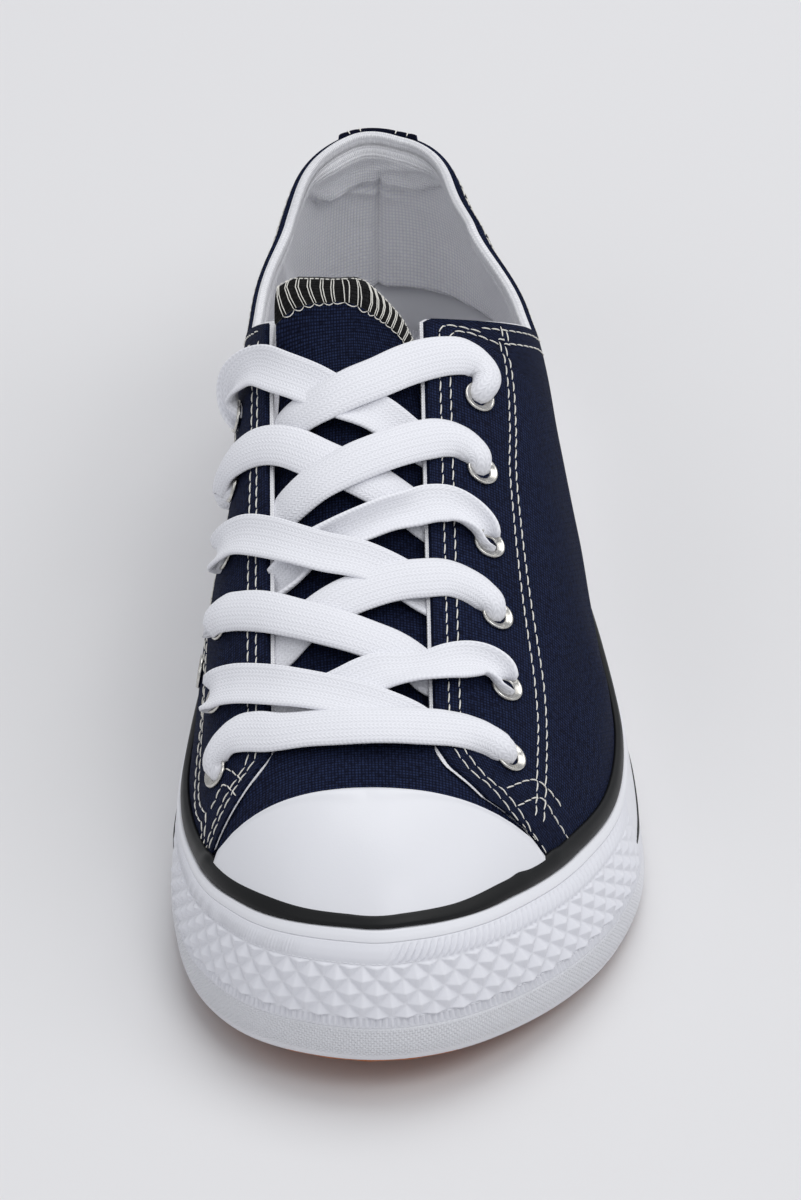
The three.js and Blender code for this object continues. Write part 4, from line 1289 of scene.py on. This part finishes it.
def tongue_points(order, share, lift=0.0):
    """A place on the tongue: order runs from its front to its top, share from -1 to 1 across."""
    order, share = np.broadcast_arrays(np.asarray(order, float), np.asarray(share, float))
    along = TONGUE_ROWS.at("along", order)
    seat = np.maximum(along, TONGUE_SEAT)
    width = np.where(share > 0, TONGUE_ROWS.at("outer", order), TONGUE_ROWS.at("inner", order))
    across = LAST.at("ridge", seat) + share * width
    point, normal = skin_at(seat, across, -TONGUE_ROWS.at("sink", order))
    middle, _ = skin_at(seat, LAST.at("ridge", seat), -TONGUE_ROWS.at("sink", order))
    point = point.copy()
    point[..., 1] = LENGTH / 2 - along
    # Over the throat the tongue's inner side stands up level with its middle.
    level = 1.15 * smooth(order, 9.0, 12.2) * smooth(-share, 0.0, 0.6)
    point[..., 2] += TONGUE_ROWS.at("rise", order) + level * (middle[..., 2] - point[..., 2])
    sag = 0.5 * np.sin(order * 2.1 + 0.6) * hump(share, 0, 0.8) * (1 - smooth(order, 9, 11))
    flare = 0.5 * smooth(order, 10, 13) * np.abs(share) ** 2
    return point + normal * (sag - flare + lift)[..., None], normal


def build_tongue():
    order = np.linspace(0, 13, 150)
    share = np.linspace(-1, 1, 70)
    o, s = np.meshgrid(order, share, indexing="ij")
    top, _ = tongue_points(o, s)
    rise = np.gradient(top, axis=0)
    over = np.gradient(top, axis=1)
    normal = unit(np.cross(over, rise))
    if normal[60, 35, 2] < 0:
        normal = -normal
    under = top - normal * 1.5
    length = run_of(top[:, 35])
    weave = np.stack([s * 20, np.broadcast_to(length[:, None], s.shape)], -1)
    weave = layered(weave, weave)
    data = {"weave": weave}
    solid_strip("tongue_cloth", layered(top, under), [tongue_canvas], ["tongue"], data=data)


# The binding's path: places on the tongue's edge, and the places that lie inside them.
BINDING = [
    ((12.0, -1.0), (10.85, -1.0)), ((12.5, -1.0), (11.05, -0.87)), ((13.0, -1.0), (11.25, -0.745)),
    ((13.0, -0.6), (11.45, -0.47)), ((13.0, -0.15), (11.5, -0.17)), ((13.0, 0.45), (11.3, 0.1)),
    ((13.0, 1.0), (11.15, 0.28)), ((12.0, 1.0), (10.9, 0.5)), ((11.25, 1.0), (10.6, 0.68)),
    ((10.7, 1.0), (10.3, 0.8)), ((10.1, 1.0), (9.9, 0.86)),
]
BINDING_PATH = np.array(BINDING).reshape(len(BINDING), 4)


def binding_at(run, inward, lift):
    """A point of the binding: run from 0 to 1 round the edge, inward from 0 at the edge to 1."""
    run, inward, lift = np.broadcast_arrays(*(np.asarray(v, float) for v in (run, inward, lift)))
    at = np.clip(run, 0, 1) * BINDING_RUN[-1]
    columns = (np.interp(at, BINDING_RUN, BINDING_PATH[:, k]) for k in range(4))
    edge_order, edge_share, in_order, in_share = columns
    order = edge_order + (in_order - edge_order) * inward
    share = edge_share + (in_share - edge_share) * inward
    return tongue_points(order, share, lift)[0]


BINDING_RUN = run_of(tongue_points(BINDING_PATH[:, 0], BINDING_PATH[:, 1])[0])


BINDING_STITCHES = 16
CHAIN_STITCHES = 34  # along the binding's very edge
OVERLOCK_THREAD = 0.12


def build_binding():
    run = np.linspace(0, 1, 150)[:, None]
    over = np.array([1.0, 0.97, 0.85, 0.65, 0.45, 0.25, 0.1, 0.02])[None]
    lifts = np.array([0.05, 0.4, 0.5, 0.52, 0.52, 0.5, 0.46, 0.3])[None]
    top = binding_at(run, over, lifts)
    edge = binding_at(run, 0.0, -0.75)[:, 0]
    inside = binding_at(run, 0.4, -0.75)[:, 0]
    away = unit(edge - inside)
    rim = np.stack([edge + away * 0.75 + np.array([0, 0, 0.35]), edge + away * 0.9, edge + away * 0.7], 1)
    rim[:, 2, 2] -= 0.5
    under = binding_at(run, np.array([0.05, 0.2, 0.45])[None], -2.0)
    loops = np.concatenate([top, rim, under], 1)
    weave = np.stack(np.broadcast_arrays(run * 60, np.arange(loops.shape[1])[None] * 0.8), -1)
    solid_strip("tongue_binding", loops, [binding], data={"weave": weave})
    lines = []
    for k in range(BINDING_STITCHES):
        at = (k + 0.5) / BINDING_STITCHES + rng.uniform(-0.004, 0.004)
        lean = 0.014 + rng.uniform(-0.003, 0.003)
        for spread in (0.0, 0.016):
            foot, head = at + lean + spread, at - lean + spread * 0.8
            inward = np.array([1.02, 0.8, 0.5, 0.2, 0.02])
            lift = np.array([0.5, 0.66, 0.68, 0.66, 0.6])
            lines.append(binding_at(np.linspace(foot, head, 5), inward, lift))
        after = at + 1 / BINDING_STITCHES
        if k < BINDING_STITCHES - 1:
            scallop = np.array([1.02, 1.07, 1.09, 1.07, 1.02])
            lines.append(binding_at(np.linspace(at + lean, after + lean, 5), scallop, 0.3))
    for k in range(CHAIN_STITCHES):
        lines.append(binding_at(np.linspace(k + 0.1, k + 0.85, 5) / CHAIN_STITCHES, 0.03, 0.62))
    tubes("tongue_overlock", lines, OVERLOCK_THREAD, cream_thread)


# ---- Eyelets ----
def seat_frames():
    seats = []
    for k, pair in enumerate(EYELETS):
        for side, (along, across) in zip(("outer", "inner"), pair):
            point, normal = skin_at(np.array([float(along)]), np.array([float(across)]), 0.0)
            seats.append((f"eyelet_{side}_{k + 1}", point[0], normal[0]))
    for k, (along, height) in enumerate(VENTS):
        walk = -side_walk(np.array([along - 2.0, along, along + 2.0]))
        ribs = Ribs(walk)
        line = ribs.spot(ribs.radius_at(height), height)
        one = Ribs(walk[1:2])
        up = one.spot(one.radius_at(height + 2.0), height + 2.0)[0]
        normal = unit(np.cross(up - line[1], line[2] - line[0]))
        if normal[0] > 0:
            normal = -normal
        seats.append((f"vent_{k + 1}", line[1], normal))
    return seats


EYELET_SIDES = 40
# The ring's section: radius, and height over the skin.
EYELET_PROFILE = [
    (1.9, -2.7), (1.9, -0.2), (1.95, 0.08), (2.2, 0.2), (2.6, 0.38), (3.0, 0.6), (3.25, 0.76),
    (3.45, 0.78), (3.62, 0.6), (3.7, 0.3), (3.7, 0.1), (3.3, -0.05), (2.4, -0.1), (2.4, -2.7),
]


def build_eyelets():
    around = np.linspace(0, 2 * PI, EYELET_SIDES, endpoint=False)
    profile = np.array(EYELET_PROFILE)
    for name, seat, normal in seat_frames():
        side = unit(np.cross(normal, [0.0, 1, 0]))
        other = np.cross(normal, side)
        ring = side * np.cos(around)[:, None] + other * np.sin(around)[:, None]
        loops = seat + ring[:, None] * profile[None, :, :1] + normal * profile[None, :, 1:]
        loops += normal * 0.15
        solid_strip(name + "_ring", loops, [bright_nickel], [name], round_trip=True)


# ---- Lace ----
LACE_FLAT = 10.0
LACE_THICK = 1.25
LACE_WIDE = 9.8  # where nothing gathers it
LACE_STEP = 0.7

# The lace's run through the eyelets: along, across and lift over the skin, then the width if it isn't
# LACE_WIDE and the roll in degrees if it has one. Each run starts at the eyelet below on the other side
# and first passes under the facing.
TO_OUTER = {
    2: [
        (212.4, -38, -3, 7), (212, -34, -3, 9), (211, -30, -2.7, 9.6), (208.6, -23, -1.2),
        (205.4, -13.9, 0), (202.2, -6.5, 0.3), (201.3, -0.9, 0.6, 9.6, -14), (200, 4.7, 1.1, 9.5, -16),
        (197.5, 9.6, 1.15, 9.6, -4), (195.9, 13.6, 1.2, 9), (195.8, 16.4, 1.45, 7.8),
        (197.3, 18.8, 1.6, 6), (198.5, 19.9, 0.5, 3.4), (198.6, 20.1, -1.8, 3),
    ],
    3: [
        (193.4, -37.5, -3, 7), (192.6, -33.5, -3, 9), (191.1, -29.7, -2.7, 9.7), (187.1, -23, -1.3),
        (182.8, -13.7, 0), (180.6, -8.1, 0.3), (178.5, -2.4, 0.6), (177, 3.2, 1.05),
        (175.5, 8.8, 1.15, 9.6), (175.7, 12.6, 1.2, 9), (176.9, 15.6, 1.45, 8), (179, 17.7, 1.6, 6),
        (180.4, 18.6, 0.5, 3.4), (180.4, 18.6, -1.8, 3),
    ],
    4: [
        (174.8, -36.5, -3, 6.5), (174.5, -31.5, -3, 7.5), (173.5, -27.4, -2.3, 7.2, 8),
        (169.5, -21, -1, 7, 16), (167.5, -15.4, -0.3, 7, 20), (165.1, -9.7, 0.1, 7, 20),
        (162.5, -4.1, 0.4, 7.4, 14), (160.7, 0.8, 0.8, 8.4, 8), (158.4, 5.4, 1.15, 9.4),
        (157.4, 9.2, 1.2, 9.2), (157.9, 11.8, 1.35, 8.2), (159.2, 14.2, 1.6, 6.8), (161, 16.2, 1.5, 5),
        (162.2, 17.1, 0.5, 3.4), (162.4, 17.3, -1.8, 3),
    ],
    5: [
        (156.3, -35.2, -3, 7), (156.4, -31.5, -3, 9), (156.3, -28.3, -2.4, 9.7), (155.7, -24.6, -1),
        (154, -19, 0.9), (151.8, -13.3, 1.6), (148.9, -7.7, 1.7), (145.7, -2, 1.6), (142.4, 3.7, 1.3),
        (140.1, 8.3, 1.2, 9.6), (139.4, 11.4, 1.25, 9), (140.1, 14, 1.45, 8), (142, 15.6, 1.6, 6.4),
        (143.7, 16.3, 0.6, 3.4), (143.9, 16.3, -1.8, 3),
    ],
    6: [
        (136.8, -34, -3, 7), (136.2, -31, -3, 9), (135.6, -28.2, -2.4, 9.7), (135.1, -22.6, -0.6),
        (134.5, -16.9, 1), (132.3, -11.2, 1.6), (129.2, -5.5, 1.7), (125.2, 0.2, 1.5), (122.2, 4.8, 1.35),
        (119.4, 9.8, 1.3, 9.6), (117.8, 13.8, 1.35, 9.2), (118.2, 16.6, 1.5, 8), (120.6, 17.9, 1.9, 6.2),
        (123.3, 17.4, 1.7, 4.4), (125, 16.6, 0.6, 3.2), (125.4, 16.3, -1.8, 3),
    ],
}
TO_INNER = {
    2: [
        (216.6, 17.3, -3, 7), (216.2, 12, -3, 9), (215.9, 8, -2.8, 9.7), (215.3, 4.8, -2.2),
        (213.4, -1.1, -0.4), (211.2, -8.5, 1), (208.3, -17.7, 1.8), (204, -26.9, 1.8),
        (199.4, -33.4, 1.4), (196.3, -37.4, 1.8, 9.6), (194.2, -40.2, 2.3, 9.2), (193, -41.5, 1.7, 7),
        (193.4, -41.3, 0.7, 5), (194, -40.9, -0.4, 4), (194, -40.8, -2.2, 3.8),
    ],
    3: [
        (199.5, 17, -3, 7), (200, 12, -3, 9), (200.2, 8.5, -2.8, 9.7), (200, 5.8, -2.6), (198, 2.8, -1.9),
        (195.2, -2.7, -0.8), (192.9, -10.1, 0.5), (190.2, -17.5, 1.3), (186.9, -23.8, 1.5),
        (182.1, -30.4, 1.4), (177.6, -35.9, 1.8, 9.6), (175.2, -38.6, 2.4, 9.2), (173.6, -40.6, 1.8, 7),
        (174.2, -40.4, 0.7, 5), (175, -39.8, -0.4, 4), (175, -39.7, -2.2, 3.8),
    ],
    4: [
        (181, 15.5, -3, 7), (181, 11, -3, 9), (180.4, 8, -2.8, 9.7), (179.5, 5.4, -2.6),
        (176.5, -2.4, -0.8), (174.1, -9.8, 0.6), (172.2, -17.3, 1.4), (168.6, -23.6, 1.5),
        (163.1, -30.3, 1.4), (158.4, -35, 1.8, 9.6), (156.3, -37.8, 2.3, 9.2), (155.1, -39.1, 1.7, 7),
        (155.4, -38.9, 0.7, 5), (156, -38.5, -0.4, 4), (156, -38.4, -2.2, 3.8),
    ],
    5: [
        (162.6, 14.2, -3, 7), (161.8, 10.4, -3, 9), (160.4, 7, -2.9, 9.7), (159.3, 4.6, -2.7),
        (157.6, 1.6, -2), (155.4, -4, -0.6), (151.8, -11.5, -0.1), (147.5, -18.9, 0.1),
        (142.9, -24.5, 0.6), (138.6, -30.1, 1.2), (136.4, -33.4, 2, 9.6), (134.4, -36.2, 2.6, 9.2),
        (133.8, -37.7, 1.9, 7), (135.2, -37.6, 0.8, 5), (136.9, -36.9, -0.4, 4), (137, -36.8, -2.2, 3.8),
    ],
    6: [
        (144, 13.2, -3, 7), (143.2, 9, -3, 9), (142.2, 6.4, -2.9, 9.7), (141.5, 4.5, -2.7),
        (139.7, 0, -1.7), (137.3, -5.6, -0.4), (134.4, -13.1, -0.1), (128.6, -20.6, 0.2),
        (123.5, -26.2, 0.8), (117.6, -30.7, 1.4, 9.4), (115.8, -32.6, 2.2, 9, 10),
        (114.9, -34.2, 2.9, 7.6, 16), (115.4, -35.2, 2.2, 5.8, 10), (116.8, -35.5, 1, 4.4),
        (118.3, -35.6, -0.4, 4), (118.5, -35.6, -2.2, 3.8),
    ],
}
BAR = [
    (213, -41.3, -2.2, 3.4), (212.8, -41.3, -0.4, 3.6), (211.9, -41.3, 0.9, 4.8),
    (210.4, -40.6, 1.7, 6.6), (209.4, -39, 1.9, 8.4), (209.6, -36.6, 1.8, 9.4), (211.3, -33.8, 1.6),
    (214.7, -28.8, 1.6), (217.2, -19.6, 2), (217.9, -8.6, 2.4), (216.6, 2.5, 1.8),
    (215.4, 8.1, 1.35, 9.7), (214.8, 12.9, 1.3, 9), (215.3, 16.7, 1.5, 7.6), (216.4, 19, 1.6, 6),
    (216.5, 20.2, 0.5, 3.4), (216.5, 20.4, -1.8, 3),
]


def lace_path():
    rows = []
    for runs, row in ((TO_OUTER, 6), (TO_INNER, 5), (TO_OUTER, 4), (TO_INNER, 3), (TO_OUTER, 2)):
        rows += runs[row][::-1]
    rows += BAR
    for runs, row in ((TO_INNER, 2), (TO_OUTER, 3), (TO_INNER, 4), (TO_OUTER, 5), (TO_INNER, 6)):
        rows += runs[row]
    return np.array([row + (LACE_WIDE, 0)[len(row) - 3 :] for row in rows], float)


def curl_of(width):
    """The half angle of the arc that a flat lace bends to when it is gathered to a width."""
    angle = np.linspace(0.12, 2.6, 300)
    share = np.sin(angle) / angle
    return np.interp(-np.minimum(width / LACE_FLAT, 0.997), -share, angle)


def build_lace():
    controls = lace_path()
    knots, _ = skin_at(controls[:, 0], controls[:, 1], controls[:, 2])
    chord = np.maximum(np.linalg.norm(np.diff(knots, axis=0), axis=1), 0.4)
    order = np.concatenate([[0], np.cumsum(chord)])
    table = Table("run along across lift width roll", np.column_stack([order, controls]))
    at = np.arange(0, order[-1], LACE_STEP)
    along, across, lift, width = (table.at(name, at) for name in ("along", "across", "lift", "width"))
    middle, normal = skin_at(along, across, lift)
    for _ in range(2):
        middle[1:-1] = (middle[:-2] + 2 * middle[1:-1] + middle[2:]) / 4
    tangent = unit(np.gradient(middle, axis=0))
    raw = np.cross(normal, tangent)
    strength = smooth(np.linalg.norm(raw, axis=1), 0.35, 0.8)
    raw = unit(raw)
    start = int(np.argmax(strength > 0.99))
    wide = np.zeros_like(middle)
    wide[start] = raw[start]
    for step, stop in ((1, len(at)), (-1, -1)):
        for i in range(start + step, stop, step):
            before = wide[i - step]
            carried = unit(before - tangent[i] * (before @ tangent[i]))
            target = raw[i] if raw[i] @ carried >= 0 else -raw[i]
            wide[i] = unit(carried * (1 - strength[i]) + target * strength[i])
    out = np.cross(tangent, wide)
    # A roll above 0 turns the edge on the toe's side down.
    toe_side = np.where((raw * wide).sum(1) > 0, 1.0, -1.0)
    roll = np.radians(table.at("roll", at))[:, None] * toe_side[:, None]
    sine, cosine = np.sin(roll), np.cos(roll)
    wide, out = wide * cosine + out * sine, out * cosine - wide * sine
    # The side that faces away from the shoe over the facings is the lace's outer side throughout.
    share = np.array([-1, -0.985, -0.94, -0.8, -0.55, -0.28, 0, 0.28, 0.55, 0.8, 0.94, 0.985, 1])
    thick = np.array([0.12, 0.5, 0.8, 0.97, 1, 1, 1, 1, 1, 0.97, 0.8, 0.5, 0.12]) * LACE_THICK / 2
    curl = curl_of(width)[:, None]
    big = LACE_FLAT / 2 / curl
    angle = share[None] * curl
    mean = np.sin(curl) / curl
    sway = 0.12 * np.sin(at / 6.1)[:, None] + 0.1 * np.sin(at / 2.7 + 1)[:, None] * share[None]
    side = big * np.sin(angle)
    rise = big * (np.cos(angle) - mean) + sway

    def layer(sign):
        s = side + sign * thick * np.sin(angle)
        r = rise + sign * thick * np.cos(angle)
        return middle[:, None] + wide[:, None] * s[..., None] + out[:, None] * r[..., None]

    weave = np.stack(np.broadcast_arrays(at[:, None], share[None] * LACE_FLAT / 2), -1)
    data = {"weave": layered(weave, weave)}
    nodes = [f"lace_{k}" for k in range(1, 7)]
    solid_strip("lace_run", layered(layer(1), layer(-1)), [lace_cloth], nodes, data=data)


# ---- Insole and sole ----
def build_insole():
    inset = 3.2
    middle = FEATHER_LINE.mean(0)
    line = FEATHER_LINE - unit(FEATHER_LINE - middle) * inset
    turn = np.linspace(0.02, PI - 0.02, 150)
    along = line[:, 0].min() + (line[:, 0].max() - line[:, 0].min()) * (1 - np.cos(turn)) / 2
    sides = []
    for side in (-1, 1):
        half = line[(line[:, 1] - np.interp(line[:, 0], [0, LENGTH], [0, -7])) * side > 0]
        half = half[np.argsort(half[:, 0])]
        sides.append(np.interp(along, half[:, 0], half[:, 1]))
    share = np.sin(np.linspace(-1, 1, 60) * PI / 2)
    across = sides[0][:, None] + (sides[1] - sides[0])[:, None] * (share[None] + 1) / 2
    away = along[:, None]
    cup = 2.1 + 4 * np.abs(share[None]) ** 6 - 4 * np.abs(share[None]) ** 60
    top = place(away, across, FEATHER + spring(away) + cup)
    under = place(away, across, FEATHER + spring(away) + 0.05)
    loops = layered(top, under)
    data = {"weave": loops[..., :2]}
    solid_strip("insole_sock", loops, [sock], ["insole"], data=data)


def dress_carried_nodes():
    for name, material in (("outsole", gum_rubber), ("midsole", filler)):
        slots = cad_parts[name].data.materials
        if slots:
            slots[0] = material
        else:
            slots.append(material)


# ---- Stage ----
FLOOR_HALF = 6.0  # metres


def build_stage():
    points = FLOOR_HALF * np.array([(-1, -1, 0), (1, -1, 0), (1, 1, 0), (-1, 1, 0)]) / MM
    n = Nodes("pale_floor")
    speck = n.noise(n.place(), 3, 2.0)
    pale = n.mix(speck, (0.745, 0.74, 0.745), (0.76, 0.755, 0.76))
    floor_paint = n.finish(pale, 0.9, Specular_IOR_Level=0.1)
    floor = new_object("floor", points, [(0, 1, 2, 3)], [floor_paint], smooth_shade=False)
    world = bpy.data.worlds.new("studio")
    bpy.context.scene.world = world
    world.use_nodes = True
    world.node_tree.nodes["Background"].inputs[0].default_value = (0.93, 0.95, 1, 1)
    world.node_tree.nodes["Background"].inputs[1].default_value = 0.5
    lamp("key", (0.25, 0.75, 2.0), 1.5, 17)
    lamp("front", (0.8, -1.2, 2.1), 1.0, 9)
    lamp("fill", (-1.1, -1.1, 1.4), 1.4, 3.5)
    lamp("side", (1.5, -0.2, 1.4), 1.2, 5.5)


def lamp(name, spot, size, power):
    light = bpy.data.lights.new(name, "AREA")
    light.size = size
    light.energy = power
    made = bpy.data.objects.new(name, light)
    bpy.context.scene.collection.objects.link(made)
    made.location = spot
    aim = np.array([0, -0.03, 0.03]) - np.array(spot)
    made.rotation_euler = look(aim)


def look(direction):
    """The turn that points a camera or a lamp along a direction, level with the floor."""
    x, y, z = direction
    return (math.atan2(math.hypot(x, y), -z), 0, math.atan2(-x, y))


CAMERA_SPOT = (-0.0405, -1.9104, 1.39369)
CAMERA_TILT = math.radians(35.5)
CAMERA_ASIDE = 0.0171  # a small turn to the right, which brings the shoe to the middle of the frame
LENS = 322


def build_camera():
    data = bpy.data.cameras.new("camera")
    data.lens = LENS
    data.sensor_width = 36
    data.clip_end = 50
    camera = bpy.data.objects.new("camera", data)
    bpy.context.scene.collection.objects.link(camera)
    camera.location = CAMERA_SPOT
    camera.rotation_euler = look((CAMERA_ASIDE, math.cos(CAMERA_TILT), -math.sin(CAMERA_TILT)))
    bpy.context.scene.camera = camera


build_camera()
build_stage()
build_upper()
build_vamp()
build_cap()
build_tape()
build_foxing()
build_guard()
build_parting_line()
build_foxing_line()
build_stitching()
build_stay()
build_tongue()
build_binding()
build_eyelets()
build_lace()
build_insole()
dress_carried_nodes()
bpy.context.scene.view_settings.view_transform = "Standard"
